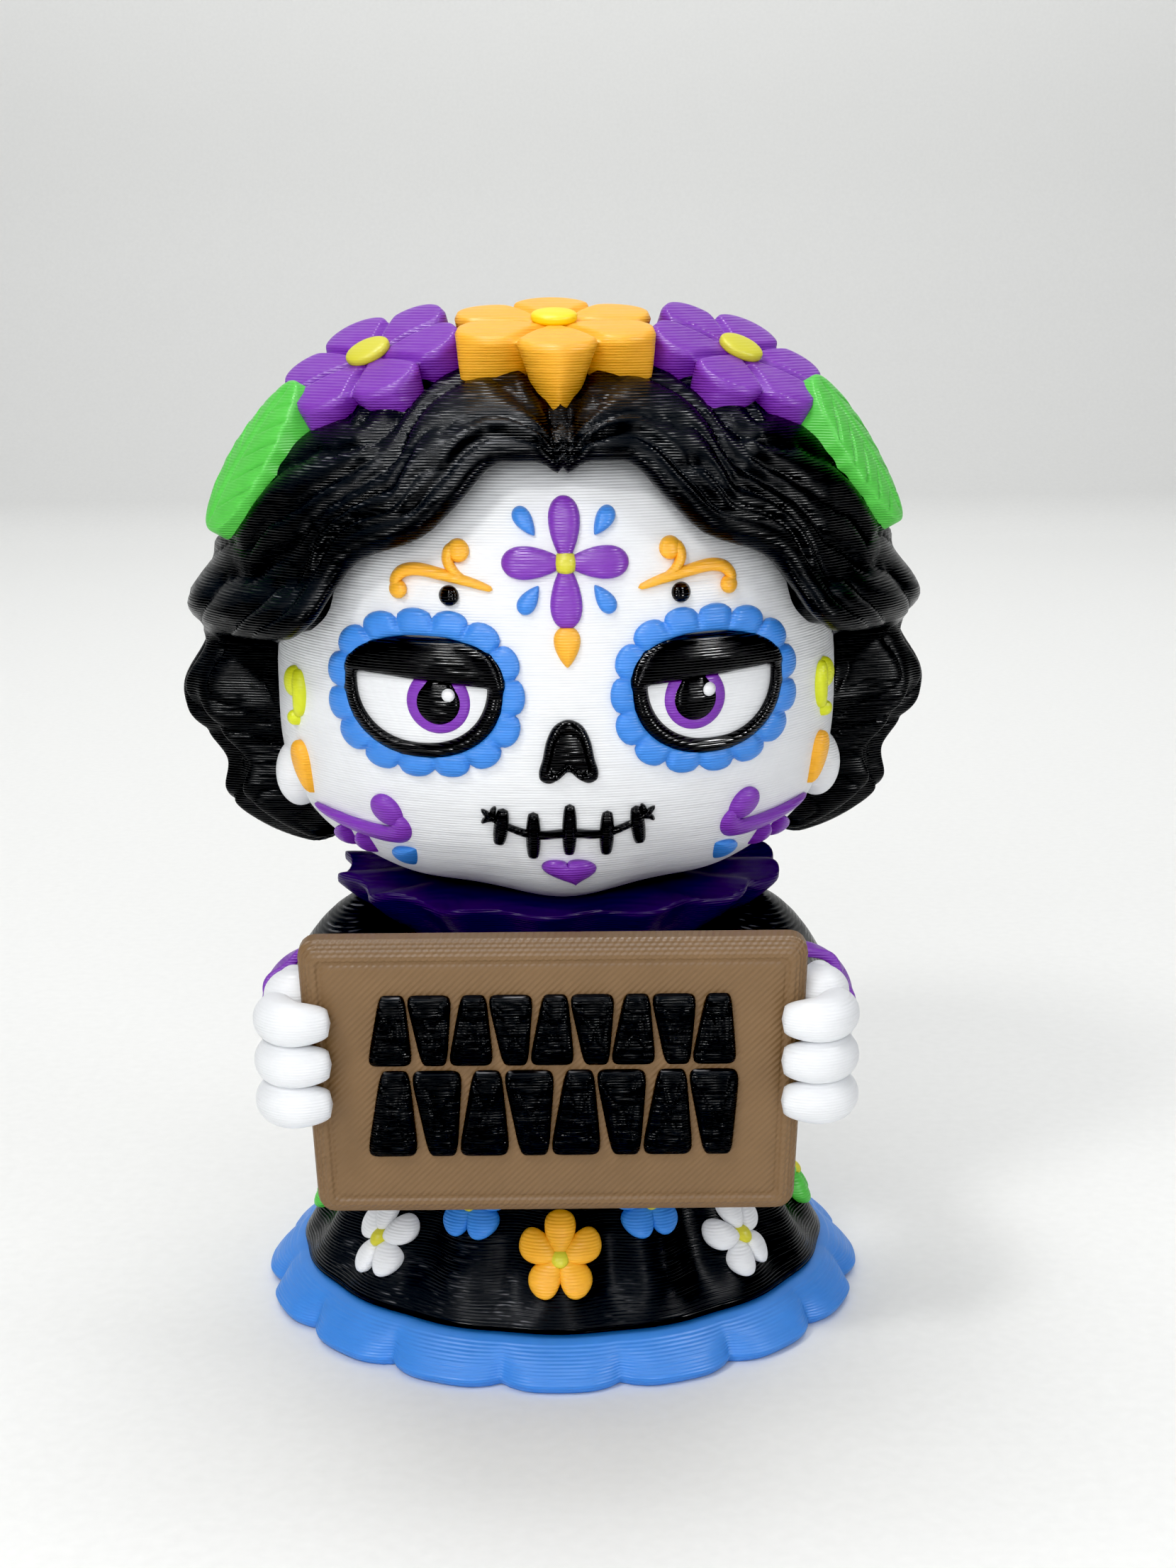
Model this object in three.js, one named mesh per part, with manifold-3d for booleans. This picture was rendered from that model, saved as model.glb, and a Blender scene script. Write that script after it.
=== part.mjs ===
// A skull-faced lady with a crown of flowers, who holds up a sign: a small figurine printed in coloured
// plastic. Millimetres, +Z up. She faces -Y, left and right are the viewer's, and the origin is the
// middle of her flat underside.

import * as THREE from 'three';
import { mergeVertices } from 'three/addons/utils/BufferGeometryUtils.js';
import Module from 'manifold-3d';

const wasm = await Module();
wasm.setup();

// Clearances and relief
const GAP = 0.3;
const INLAY_GAP = 0.15;
const RELIEF_FOOT = 0.15;
const RELIEF = 0.75;
const LID_RELIEF = 1.3;
const INLAY_RELIEF = 0.5;
const DEG = Math.PI / 180;

// Depths of the prisms that cut figures out of the skin of the head
const PRISM = { start: 6, length: 20 };

// Head: a rounded form, fuller at the jaw than at the crown
const HEAD_CENTRE = 50;
const HEAD_HALF_WIDTH = 21.9;
const HEAD_DEPTH_SHARE = 0.9;
const CRANIUM_HEIGHT = 22;
const CRANIUM_POWER = 2.2;
const JAW_HEIGHT = 15.4;
const JAW_POWER = 2.9;
const HEAD_TURN = 3;
const CHIN = { out: 0.9, down: 0.8, half_width: 5.5, z: 37, half_height: 3.2 };
const NECK_RADIUS = 8.2;
const NECK_HEIGHT = 8;
const HEAD_SIDES = 24;
const HEAD_ROWS = 15;
const EAR = { x: 20.2, y: -3.4, z: 43.1, width: 1.9, depth: 2.2, height: 2.7 };

// Hair: a full bob that stands out past the cheeks
const HAIR_CENTRE = { y: 1.5, z: 51 };
const HAIR_HALF_WIDTH = 29;
const HAIR_FRONT = 24;
const HAIR_FRONT_LOW = 6;
const HAIR_BACK = 23.5;
const HAIR_TOP = 25;
const HAIR_TOP_POWER = 2.25;
const HAIR_BOTTOM = 15.4;
const HAIR_BOTTOM_POWER = 3.6;
const FORELOCK_END = 54;
const FORELOCK_EDGE = 1.3;
const WAVES = [[66, 0], [60, -1.2], [56.5, 0], [53.5, -1], [49, 0.8], [43, -1.5], [39.5, 0], [36.5, 1]];
const WAVE_LAG = 3.6;
const LOCK = { depth: 1, count: 16, full: 46, none: 56 };
const SCALP_MARGIN = 0.7;
const HAIR_LINING = 0.75;
const PARTING = { depth: 1.8, half_width: 1.5, foot: 0.2, top: 0.5, end: -0.35, fade: 0.3 };
const HAIRLINE = [[5, 67.3], [9.2, 62.8], [14.6, 60.8], [17, 57.8], [19.8, 54.9], [22.7, 53]];
const OPENING = { foot: 25, back: -1.5 };

// Eyes, for the right one; the left one is its mirror
const EYE_RING = { x: 10.2, z: 51.4, half_width: 7.0, half_height: 5.9, power: 2.4, lobes: 15, lobe: 0.75 };
const EYE_FRAME = { x: 10.3, z: 51.9, half_width: 5.8, top: 3.5, bottom: 5.1 };
const EYE_WHITE = { x: 10.4, z: 52.3, half_width: 4.75, bottom: 4.45, lid_outer: 52.85, lid_inner: 52.05 };
const IRIS = { x: 9.2, z: 50.95, radius: 2.25 };
const PUPIL_RADIUS = 1.4;
const LID_BRIM = [[3.0, 51.9], [17.6, 53.1], [17.6, 56.5], [3.0, 56.5]];

// Nose, mouth and chin
const NOSE = { z: 47.3, half_width: 2.15, top: 2.5, bottom: 2.0, notch: 0.9 };
const MOUTH_LINE = [[-6.1, 43], [-4.4, 41.6], [-2.2, 41.1], [0, 41.1], [2.2, 41.1], [4.4, 41.6], [6.1, 43]];
const MOUTH_WIDTH = 0.75;
const STITCHES = [[-4.9, 41.7, 3], [-2.55, 41, 3.7], [0.05, 41.4, 4], [2.75, 41.1, 3.7], [4.95, 41.7, 3]];
const HEART = { z: 37.9, half_width: 2.1, height: 2.5 };

// Forehead
const FOREHEAD_FLOWER = { z: 60.7, reach: 4.4, petal: 1.2, centre: 0.8 };
const FLOWER_EYE_RIM = 0.5;
const FOREHEAD_DROPS = [[-2.8, 63.5, 215], [2.8, 63.5, 145], [-2.6, 58.2, 325], [2.7, 58.2, 35]];
const FOREHEAD_DROP = { length: 2.0, width: 1.5 };
const BRIDGE_DROP = { z: 55.0, length: 2.3, width: 1.9 };
const BROW_STROKE = [[5.2, 58.9], [8.2, 59.8], [10.4, 60.2], [11.9, 59.8], [12.2, 58.7]];
const BROW_BRANCH = [[6.9, 59.5], [8.1, 60.3], [7.8, 61.6]];
const BROW_WIDTH = { tip: 0.5, curl: 0.9 };
const BROW_DOT = { x: 8.3, z: 58.5, radius: 0.6 };

// Temples and cheeks: places as azimuth from the front, then height
const COMMA = { azimuth: 65, z: 49.6, width: 1.5, tail: 0.6 };
const COMMA_LINE = [[-1.6, 1.5], [0.2, 2.0], [1.3, 0.5], [0.9, -1.3], [-0.5, -2.2]];
const TEMPLE_DROP = { azimuth: 66, z: 46.3, length: 3.3, width: 2.4 };
const CHEEK = { azimuth: 52, z: 40.6, ball: 1.9, tip: 0.8, leaf_length: 2.6, leaf_width: 1.2 };
const CHEEK_STROKE = [[4.6, 1.9], [5.5, 0.3], [3.4, -0.5], [-0.5, 0.1], [-5.6, 0.8]];
const CHEEK_LEAVES = [[-1.4, -1.5, 250], [-3.6, -1.2, 215]];
const CHEEK_DROP = { azimuth: 37, z: 38.3, length: 2.0, width: 1.3, turn: 60 };

// Crown
const CROWN_FLOWER = { petals: 6, petal: 0.37, slab: 6.2, centre: 1.75 };
const CROWN_FRONT = { at: [-0.1, -5.2, 77.5], normal: [0, -0.21, 0.978], turn: -90, radius: 8.2 };
const CROWN_SIDE = { at: [13.8, -4, 75], normal: [0.36, -0.36, 0.86], turn: 24, radius: 7.1 };
const LEAF = { at: [23.2, -5, 67.8], normal: [0.79, -0.36, 0.5], length: 11.4, width: 6.8, thickness: 3.4 };

// Collar, dress and hem
const COLLAR = { inner: 8.7, base: 13.4, rim: 17.3, foot: 30.6, rim_low: 33.9, rim_top: 34.7, top: 34.1 };
const PLEATS = 14;
const COLLAR_WAVE = { out: 0.6, up: 0.45 };
const BODY_DEPTH_SHARE = 0.88;
const WAIST_HEIGHT = 20;
const DRESS_FOOT = 3.9;
const SKIRT_PROFILE = [[21.1, 3.9], [19, 7.7], [17.3, 11], [15.6, 15.5], [14.3, 20], [13.7, 25]];
const SHOULDER_PROFILE = [[12.4, 30.6], [9.6, 31.6]];
const FOLD = { depth: 0.8, count: 16 };
const SLEEVE_PATH = [[8, 2, 28], [14.4, 0.8, 27.8], [17.6, -7.5, 26.2], [17.7, -16.2, 27.8]];
const SLEEVE_RADIUS = { shoulder: 5.6, wrist: 3.1 };
const CUFF = { at: [17.7, -15.9, 27.8], inner: 3.5, outer: 4.3, length: 2.2, lobes: 7, turn: -6, tilt: 8 };
const CUFF_FLARE = { mouth: 0.3, wave: 0.05 };
const WRIST_CUT = { size: [14, 8, 14], before: 1.4 };
const HEM = { base: 23.7, rim: 24.3, top: 21.4, height: 3.6, lip: 0.8 };
const HEM_LOBES = { count: 16, notch: 1.5, notch_turn: 4.2 };

// Sign
const SIGN = { half_top: 18.1, half_bottom: 17.35, height: 21.4, thickness: 2.5, corner: 1.2, bevel: 0.5 };
const SIGN_LEAN = 6.5;
const SIGN_BAR = 0.6;
const STROKE_RELIEF = 0.7;
const SIGN_FRONT = [-0.2, -23.8, 24.2];
const SIGN_ROWS = [
  { name: 'upper', centre: 4.1, height: 5.4, width: 26, strokes: 9 },
  { name: 'lower', centre: -2.4, height: 6.7, width: 26.4, strokes: 8 },
];

// Hands
const FINGER_HEIGHTS = [29.2, 26.15, 23.2];
const FINGER_RADIUS = 1.75;
const FINGER_PATH = [[19.0, -20.3], [19.9, -23.6], [18.6, -25.6], [16.1, -25.5]];
const PALM = { at: [19.0, -20.7, 26.2], radii: [2.4, 2.8, 5.9] };
const KNUCKLE = { at: [18.9, -21.3, 30.1], radii: [2.2, 2.3, 1.9] };

// Flowers on the skirt: azimuth, height, colour
const SKIRT_FLOWER = { petals: 5, petal: 0.41, reach: 2.9, thickness: 0.7 };
const FLOWER_LIFT = 0.35;
const SKIRT_FLOWERS = [
  ['front', 0, 8.4, 'orange'],
  ['inner_left', -23, 11.6, 'blue'],
  ['inner_right', 23, 11.6, 'blue'],
  ['outer_left', -47, 7.9, 'white'],
  ['outer_right', 47, 7.9, 'white'],
  ['side_left', -90, 8.4, 'green'],
  ['side_right', 90, 8.4, 'green'],
  ['back', 180, 8.4, 'white'],
];

// Plastics
const PLASTICS = {
  white: { color: 0xececef, roughness: 0.45 },
  black: { color: 0x0d0e12, roughness: 0.35 },
  orange: { color: 0xffb43c, roughness: 0.42 },
  yellow: { color: 0xd8d63c, roughness: 0.42 },
  purple: { color: 0x7a35ae, roughness: 0.4 },
  plum: { color: 0x3f1178, roughness: 0.4 },
  green: { color: 0x4fc94c, roughness: 0.42 },
  blue: { color: 0x4a90e6, roughness: 0.42 },
  brown: { color: 0x8c6a4b, roughness: 0.5 },
};

const figure = new THREE.Group();
const head = new THREE.Group();
head.rotation.z = HEAD_TURN * DEG;
figure.add(head);

// Bare positions with shared corners merged, so that a geometry is one closed skin
function welded(geometry) {
  const bare = geometry.clone();
  bare.deleteAttribute('normal');
  bare.deleteAttribute('uv');
  return mergeVertices(bare, 1e-4);
}

// Moves every corner of a geometry by a rule
function shaped(geometry, rule) {
  const skin = welded(geometry);
  const place = skin.attributes.position;
  const corner = new THREE.Vector3();
  for (let i = 0; i < place.count; i += 1) {
    corner.fromBufferAttribute(place, i);
    rule(corner);
    place.setXYZ(i, corner.x, corner.y, corner.z);
  }
  return skin;
}

// A closed skin as a solid, turned right side out, without the needles at its poles
function solid(geometry) {
  const skin = welded(geometry);
  const place = skin.attributes.position;
  const faces = [];
  let volume = 0;
  const [a, b, c] = [new THREE.Vector3(), new THREE.Vector3(), new THREE.Vector3()];
  for (let i = 0; i < skin.index.count; i += 3) {
    const trio = [skin.index.getX(i), skin.index.getX(i + 1), skin.index.getX(i + 2)];
    if (new Set(trio).size < 3) continue;
    faces.push(trio);
    a.fromBufferAttribute(place, trio[0]);
    b.fromBufferAttribute(place, trio[1]);
    c.fromBufferAttribute(place, trio[2]);
    volume += a.dot(b.cross(c));
  }
  const order = volume < 0 ? faces.map(([p, q, r]) => [p, r, q]) : faces;
  return new wasm.Manifold(new wasm.Mesh({
    numProp: 3,
    vertProperties: new Float32Array(place.array),
    triVerts: new Uint32Array(order.flat()),
  }));
}

function geometryOf(body) {
  const mesh = body.getMesh();
  const geometry = new THREE.BufferGeometry();
  geometry.setAttribute('position', new THREE.BufferAttribute(new Float32Array(mesh.vertProperties), 3));
  geometry.setIndex(new THREE.BufferAttribute(new Uint32Array(mesh.triVerts), 1));
  geometry.computeVertexNormals();
  return geometry;
}

function joined(bodies) {
  return bodies.reduce((sum, body) => sum.add(body));
}

function piece(name, body, plastic, parent = figure) {
  const material = new THREE.MeshStandardMaterial({ ...PLASTICS[plastic], metalness: 0 });
  const mesh = new THREE.Mesh(geometryOf(body), material);
  mesh.name = name;
  parent.add(mesh);
  return mesh;
}

function smooth(from, to, value) {
  return THREE.MathUtils.smoothstep(value, from, to);
}

function bell(value, width) {
  return Math.exp(-((value / width) ** 2));
}

// Signed power, for rounded boxes between an ellipse and a rectangle
function rounded(value, power) {
  return Math.sign(value) * Math.abs(value) ** (2 / power);
}

const SIDES = [['left', -1], ['right', 1]];

// Ball with its poles on Z
function ball(around, rows) {
  return new THREE.SphereGeometry(1, around, rows).rotateX(Math.PI / 2);
}

function ellipsoid(at, radii, around = 12, rows = 8) {
  return solid(ball(around, rows).scale(...radii).translate(...at));
}

// Stands a geometry that faces +Z on a round form: it then faces outward at an azimuth, tilted up
function stood(geometry, azimuth, tilt, at) {
  return geometry.rotateX((90 - tilt) * DEG).rotateZ(azimuth * DEG).translate(...at);
}

function extruded(shape, depth, curveSegments = 4) {
  return new THREE.ExtrudeGeometry(shape, { depth, curveSegments, bevelEnabled: false });
}

// A closed outline from a rule for each angle
function ringShape(count, rule) {
  const points = [];
  for (let i = 0; i < count; i += 1) {
    points.push(new THREE.Vector2(...rule((i / count) * Math.PI * 2)));
  }
  return new THREE.Shape(points);
}

// A stroke along a smooth line, with a width that may change from its start to its end
function strokeShape(points, start, end, steps = 10) {
  const line = new THREE.SplineCurve(points.map(([x, y]) => new THREE.Vector2(x, y)));
  const edges = [[], []];
  for (let i = 0; i <= steps; i += 1) {
    const t = i / steps;
    const at = line.getPoint(t);
    const along = line.getTangent(t);
    const half = THREE.MathUtils.lerp(start, end, t) / 2;
    edges[0].push(new THREE.Vector2(at.x - along.y * half, at.y + along.x * half));
    edges[1].unshift(new THREE.Vector2(at.x + along.y * half, at.y - along.x * half));
  }
  return new THREE.Shape([...edges[0], ...edges[1]]);
}

// A drop with its round end at the centre and its point on +Y
function dropShape(length, width, turn = 0, x = 0, y = 0) {
  return ringShape(6, (angle) => {
    const reach = width / 2 + (length - width / 2) * Math.max(0, Math.cos(angle)) ** 6;
    const side = Math.sin(angle) * (width / 2);
    const up = Math.cos(angle) > 0 ? Math.cos(angle) * reach : Math.cos(angle) * (width / 2);
    const [c, s] = [Math.cos(turn * DEG), Math.sin(turn * DEG)];
    return [x + side * c + up * s, y + up * c - side * s];
  });
}

// A petal: narrow at the middle of the flower, round outside
function petalShape(reach, half, turn) {
  return ringShape(8, (angle) => {
    const along = (reach / 2) * (1 - Math.cos(angle)) + 0.1;
    const side = half * Math.sin(angle) * (0.55 + 0.45 * (along / reach)) * 1.15;
    const [c, s] = [Math.cos(turn * DEG), Math.sin(turn * DEG)];
    return [along * c - side * s, along * s + side * c];
  });
}

// Head

// Half width and height of the head for the sine of a latitude, swollen by a margin
function headSection(sine, margin) {
  const upper = sine >= 0;
  const power = upper ? CRANIUM_POWER : JAW_POWER;
  const height = (upper ? CRANIUM_HEIGHT : JAW_HEIGHT) + margin;
  const radius = (HEAD_HALF_WIDTH + margin) * rounded(Math.sqrt(Math.max(0, 1 - sine * sine)), power);
  return { radius, z: HEAD_CENTRE + height * rounded(sine, power) };
}

function headForm(margin, around = HEAD_SIDES, rows = HEAD_ROWS) {
  return solid(shaped(ball(around, rows), (corner) => {
    const { radius, z } = headSection(corner.z, margin);
    const level = Math.hypot(corner.x, corner.y) || 1;
    const [x, y] = [corner.x / level, corner.y / level];
    const chin = bell(x * radius, CHIN.half_width) * bell(z - CHIN.z, CHIN.half_height) * Math.max(0, -y);
    corner.set(x * radius, y * radius * HEAD_DEPTH_SHARE - chin * CHIN.out, z - chin * CHIN.down);
  }));
}

// A place on the skin of the head at an azimuth from the front and a height
function onHead(azimuth, z, margin) {
  const upper = z >= HEAD_CENTRE;
  const power = upper ? CRANIUM_POWER : JAW_POWER;
  const share = Math.abs(z - HEAD_CENTRE) / ((upper ? CRANIUM_HEIGHT : JAW_HEIGHT) + margin);
  const radius = (HEAD_HALF_WIDTH + margin) * (1 - share ** power) ** (1 / power);
  return [Math.sin(azimuth * DEG) * radius, -Math.cos(azimuth * DEG) * radius * HEAD_DEPTH_SHARE, z];
}

function headLayer(inner, outer) {
  return headForm(outer).subtract(headForm(inner));
}

const reliefLayer = headLayer(RELIEF_FOOT, RELIEF);
const inlayLayer = headLayer(RELIEF_FOOT, INLAY_RELIEF);
const lidLayer = headLayer(RELIEF_FOOT, LID_RELIEF);

// Prisms of outlines that are drawn facing an azimuth, from inside the head to well in front of it
function through(shapes, azimuth = 0) {
  const start = [Math.sin(azimuth * DEG) * PRISM.start, -Math.cos(azimuth * DEG) * PRISM.start, 0];
  return joined(shapes.map((shape) => solid(stood(extruded(shape, PRISM.length), azimuth, 0, start))));
}

// A raised figure that follows the skin of the head
function onSkin(shapes, azimuth = 0, layer = reliefLayer) {
  return through(shapes, azimuth).intersect(layer);
}

function skullHead() {
  const ears = SIDES.map(([, side]) =>
    ellipsoid([side * EAR.x, EAR.y, EAR.z], [EAR.width, EAR.depth, EAR.height], 8, 5));
  const neck = new THREE.CylinderGeometry(NECK_RADIUS, NECK_RADIUS, NECK_HEIGHT, 12).rotateX(Math.PI / 2);
  neck.translate(0, 0, COLLAR.foot + NECK_HEIGHT / 2);
  return joined([headForm(0), ...ears, solid(neck)]);
}

// Eyes

function eyeRingShape(side) {
  const { x, z, half_width, half_height, power, lobes, lobe } = EYE_RING;
  const shape = ringShape(lobes * 2, (angle) => {
    const lift = lobe * Math.abs(Math.sin((angle * lobes) / 2));
    return [
      side * x + (half_width + lift) * rounded(Math.cos(angle), power),
      z + (half_height + lift) * rounded(Math.sin(angle), power),
    ];
  });
  shape.holes.push(eyeFrameShape(side, INLAY_GAP));
  return shape;
}

function eyeFrameShape(side, margin) {
  const { x, z, half_width, top, bottom } = EYE_FRAME;
  return ringShape(16, (angle) => {
    const sine = Math.sin(angle);
    const power = sine > 0 ? 2.8 : 2.1;
    const height = (sine > 0 ? top : bottom) + margin;
    const reach = (half_width + margin) * rounded(Math.cos(angle), power);
    return [side * x + reach, z + height * rounded(sine, power)];
  });
}

// The white of the eye: the lower part of an oval, cut off straight by the lid
function eyeWhiteShape(side, margin) {
  const { x, z, half_width, bottom, lid_outer, lid_inner } = EYE_WHITE;
  const points = [];
  for (let i = 0; i <= 8; i += 1) {
    const angle = Math.PI + (i / 8) * Math.PI;
    points.push(new THREE.Vector2(
      side * (x - (half_width + margin) * Math.cos(angle)),
      z + (bottom + margin) * rounded(Math.sin(angle), 2.2),
    ));
  }
  points[0].y = lid_outer + margin;
  points[8].y = lid_inner + margin;
  return new THREE.Shape(points);
}

// The part of a disc that shows below the lid
function underLid(side, radius, lidGap = INLAY_GAP) {
  const { x, half_width, lid_outer, lid_inner } = EYE_WHITE;
  const lidAt = (u) => THREE.MathUtils.mapLinear(u, x - half_width, x + half_width, lid_inner, lid_outer);
  return ringShape(10, (angle) => {
    const u = IRIS.x + radius * Math.cos(angle);
    return [side * u, Math.min(IRIS.z + radius * Math.sin(angle), lidAt(u) - lidGap)];
  });
}

function buildEye(label, side) {
  const opening = through([eyeWhiteShape(side, INLAY_GAP)]);
  const brim = new THREE.Shape(LID_BRIM.map(([x, z]) => new THREE.Vector2(side * x, z)));
  const lidLift = reliefLayer.add(lidLayer.intersect(through([brim])));
  const frame = through([eyeFrameShape(side, 0)]).subtract(opening).intersect(lidLift);
  const irisRoom = through([underLid(side, IRIS.radius + INLAY_GAP, -1)]);
  const pupilRoom = through([underLid(side, PUPIL_RADIUS + INLAY_GAP, -1)]);
  const white = through([eyeWhiteShape(side, 0)]).subtract(irisRoom).intersect(inlayLayer);
  const iris = through([underLid(side, IRIS.radius)]).subtract(pupilRoom).intersect(reliefLayer);
  piece(`eye_ring_${label}`, onSkin([eyeRingShape(side)]), 'blue', head);
  piece(`eye_frame_${label}`, frame, 'black', head);
  piece(`eye_white_${label}`, white, 'white', head);
  piece(`iris_${label}`, iris, 'purple', head);
  piece(`pupil_${label}`, onSkin([underLid(side, PUPIL_RADIUS)]), 'black', head);
}

// Nose, mouth, chin and the painted-style relief of the face

function noseShape() {
  const { half_width, top, bottom, notch } = NOSE;
  return ringShape(14, (angle) => {
    const up = Math.sin(angle);
    const pinch = up > 0 ? 1 - 0.55 * up * up : 1;
    const dip = up < 0 ? notch * bell(Math.cos(angle), 0.35) : 0;
    return [half_width * Math.cos(angle) * pinch, (up > 0 ? top : bottom) * rounded(up, 2.2) + dip];
  });
}

function heartShape() {
  const { z, half_width, height } = HEART;
  const heart = new THREE.Shape();
  heart.moveTo(-0.3, z - height * 0.6);
  heart.quadraticCurveTo(-half_width * 1.1, z, -half_width * 0.85, z + height * 0.3);
  heart.quadraticCurveTo(-half_width * 0.4, z + height * 0.5, 0, z + height * 0.28);
  heart.quadraticCurveTo(half_width * 0.5, z + height * 0.55, half_width, z + height * 0.3);
  heart.quadraticCurveTo(half_width * 0.9, z, -0.3, z - height * 0.6);
  return new THREE.Shape(heart.getPoints(2).slice(0, -1));
}

function mouthShapes() {
  const bars = STITCHES.map(([x, z, length]) => {
    const half = MOUTH_WIDTH / 2;
    return ringShape(4, (angle) => [
      x + half * Math.SQRT2 * Math.cos(angle + Math.PI / 4),
      z + (length / 2) * Math.SQRT2 * Math.sin(angle + Math.PI / 4),
    ]);
  });
  return [strokeShape(MOUTH_LINE, MOUTH_WIDTH * 0.7, MOUTH_WIDTH * 0.7, 6), ...bars];
}

function mirrored(points, side) {
  return points.map(([x, y]) => [side * x, y]);
}

// A small flat figure stood on the skin at an azimuth and a height
function stoodOnSkin(shape, azimuth, z, tilt, thickness = RELIEF - RELIEF_FOOT) {
  return solid(stood(extruded(shape, thickness, 3), azimuth, tilt, onHead(azimuth, z, RELIEF_FOOT + 0.1)));
}

function azimuthAt(x, z) {
  const radius = onHead(90, z, 0)[0];
  return Math.asin(x / radius) / DEG;
}

// Upward tilt of the skin of the head at a height
function skinTilt(z) {
  const [low, high] = [onHead(90, z - 0.5, 0)[0], onHead(90, z + 0.5, 0)[0]];
  return Math.atan2(low - high, 1) / DEG;
}

function buildFace() {
  const { z, reach, petal, centre } = FOREHEAD_FLOWER;
  const petals = [0, 90, 180, 270].map((turn) => petalShape(reach, petal, turn));
  const upright = petals.map((shape) => shifted(shape, z));
  const [eye, room, rim] = [centre, centre + INLAY_GAP, centre + FLOWER_EYE_RIM].map((radius) =>
    ringShape(8, (angle) => [radius * Math.cos(angle), z + radius * Math.sin(angle)]));
  piece('nose', stoodOnSkin(noseShape(), 0, NOSE.z, skinTilt(NOSE.z)), 'black', head);
  piece('mouth_stitches', onSkin(mouthShapes()), 'black', head);
  piece('chin_heart', onSkin([heartShape()]), 'purple', head);
  piece('forehead_flower', onSkin([...upright, rim]).subtract(through([room])), 'purple', head);
  piece('forehead_flower_centre', onSkin([eye]), 'yellow', head);
  FOREHEAD_DROPS.forEach(([x, height, turn], i) => {
    const drop = dropShape(FOREHEAD_DROP.length, FOREHEAD_DROP.width, turn);
    const body = stoodOnSkin(drop, azimuthAt(x, height), height, skinTilt(height));
    piece(`forehead_drop_${i + 1}`, body, 'blue', head);
  });
  const bridge = dropShape(BRIDGE_DROP.length, BRIDGE_DROP.width, 180);
  piece('bridge_drop', stoodOnSkin(bridge, 0, BRIDGE_DROP.z, skinTilt(BRIDGE_DROP.z)), 'orange', head);
  for (const [label, side] of SIDES) {
    const brow = strokeShape(mirrored(BROW_STROKE, side), BROW_WIDTH.tip, BROW_WIDTH.curl, 6);
    const branch = strokeShape(mirrored(BROW_BRANCH, side), BROW_WIDTH.tip, BROW_WIDTH.curl, 3);
    piece(`brow_swirl_${label}`, onSkin([brow, branch]), 'orange', head);
    const { radius } = BROW_DOT;
    const dot = ringShape(6, (angle) => [radius * Math.cos(angle), radius * Math.sin(angle)]);
    const dotAzimuth = azimuthAt(side * BROW_DOT.x, BROW_DOT.z);
    const button = stoodOnSkin(dot, dotAzimuth, BROW_DOT.z, skinTilt(BROW_DOT.z));
    piece(`brow_dot_${label}`, button, 'black', head);
    const comma = strokeShape(mirrored(COMMA_LINE, side), COMMA.width, COMMA.tail, 4);
    piece(`temple_comma_${label}`, onSkin([shifted(comma, COMMA.z)], side * COMMA.azimuth), 'yellow', head);
    const temple = shifted(dropShape(TEMPLE_DROP.length, TEMPLE_DROP.width, 180), TEMPLE_DROP.z);
    piece(`temple_drop_${label}`, onSkin([temple], side * TEMPLE_DROP.azimuth), 'orange', head);
    const swirl = [strokeShape(mirrored(CHEEK_STROKE, side), CHEEK.ball, CHEEK.tip, 3)];
    CHEEK_LEAVES.forEach(([x, y, turn]) => {
      swirl.push(dropShape(CHEEK.leaf_length, CHEEK.leaf_width, side * (270 - turn), side * x, y));
    });
    const placed = swirl.map((shape) => shifted(shape, CHEEK.z));
    piece(`cheek_swirl_${label}`, onSkin(placed, side * CHEEK.azimuth), 'purple', head);
    const drop = dropShape(CHEEK_DROP.length, CHEEK_DROP.width, side * CHEEK_DROP.turn);
    const cheek = stoodOnSkin(drop, side * CHEEK_DROP.azimuth, CHEEK_DROP.z, skinTilt(CHEEK_DROP.z));
    piece(`cheek_drop_${label}`, cheek, 'blue', head);
  }
}

// Moves an outline up to its height on the face
function shifted(shape, z) {
  return new THREE.Shape(shape.getPoints(3).map((point) => new THREE.Vector2(point.x, point.y + z)));
}

// Hair

// How far the waves of the hair stand out at a height, from one crest or trough to the next
function waveAt(z) {
  const next = WAVES.findIndex(([height]) => height <= z);
  if (next < 1) return WAVES.at(next)[1];
  const [[high, from], [low, to]] = [WAVES[next - 1], WAVES[next]];
  return THREE.MathUtils.lerp(to, from, smooth(low, high, z));
}

// Moves a corner of the unit ball onto the hair, swollen by a margin, with its locks raised by a lift
function hairRule(margin, liftAt) {
  return (corner) => {
    const lift = liftAt(corner.clone());
    const upper = corner.z >= 0;
    const power = upper ? HAIR_TOP_POWER : HAIR_BOTTOM_POWER;
    const height = (upper ? HAIR_TOP : HAIR_BOTTOM) + margin;
    const level = Math.hypot(corner.x, corner.y) || 1;
    const [x, y] = [corner.x / level, corner.y / level];
    const share = Math.max(0, 1 - Math.abs(corner.z) ** power) ** (1 / power);
    const z = HAIR_CENTRE.z + height * corner.z;
    const brow = smooth(FORELOCK_END - FORELOCK_EDGE, FORELOCK_END + FORELOCK_EDGE, z);
    const front = THREE.MathUtils.lerp(HAIR_FRONT_LOW, HAIR_FRONT, brow);
    const depth = (y < 0 ? front : HAIR_BACK) + margin;
    const wave = waveAt(z - Math.max(0, y) * WAVE_LAG);
    const half = HAIR_HALF_WIDTH + margin;
    const out = 1 + ((margin ? Math.max(0, wave) : wave) + lift) / half;
    corner.set(x * share * half, y * share * depth, height * corner.z).multiplyScalar(out);
    corner.y += HAIR_CENTRE.y;
    corner.z += HAIR_CENTRE.z;
  };
}

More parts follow.
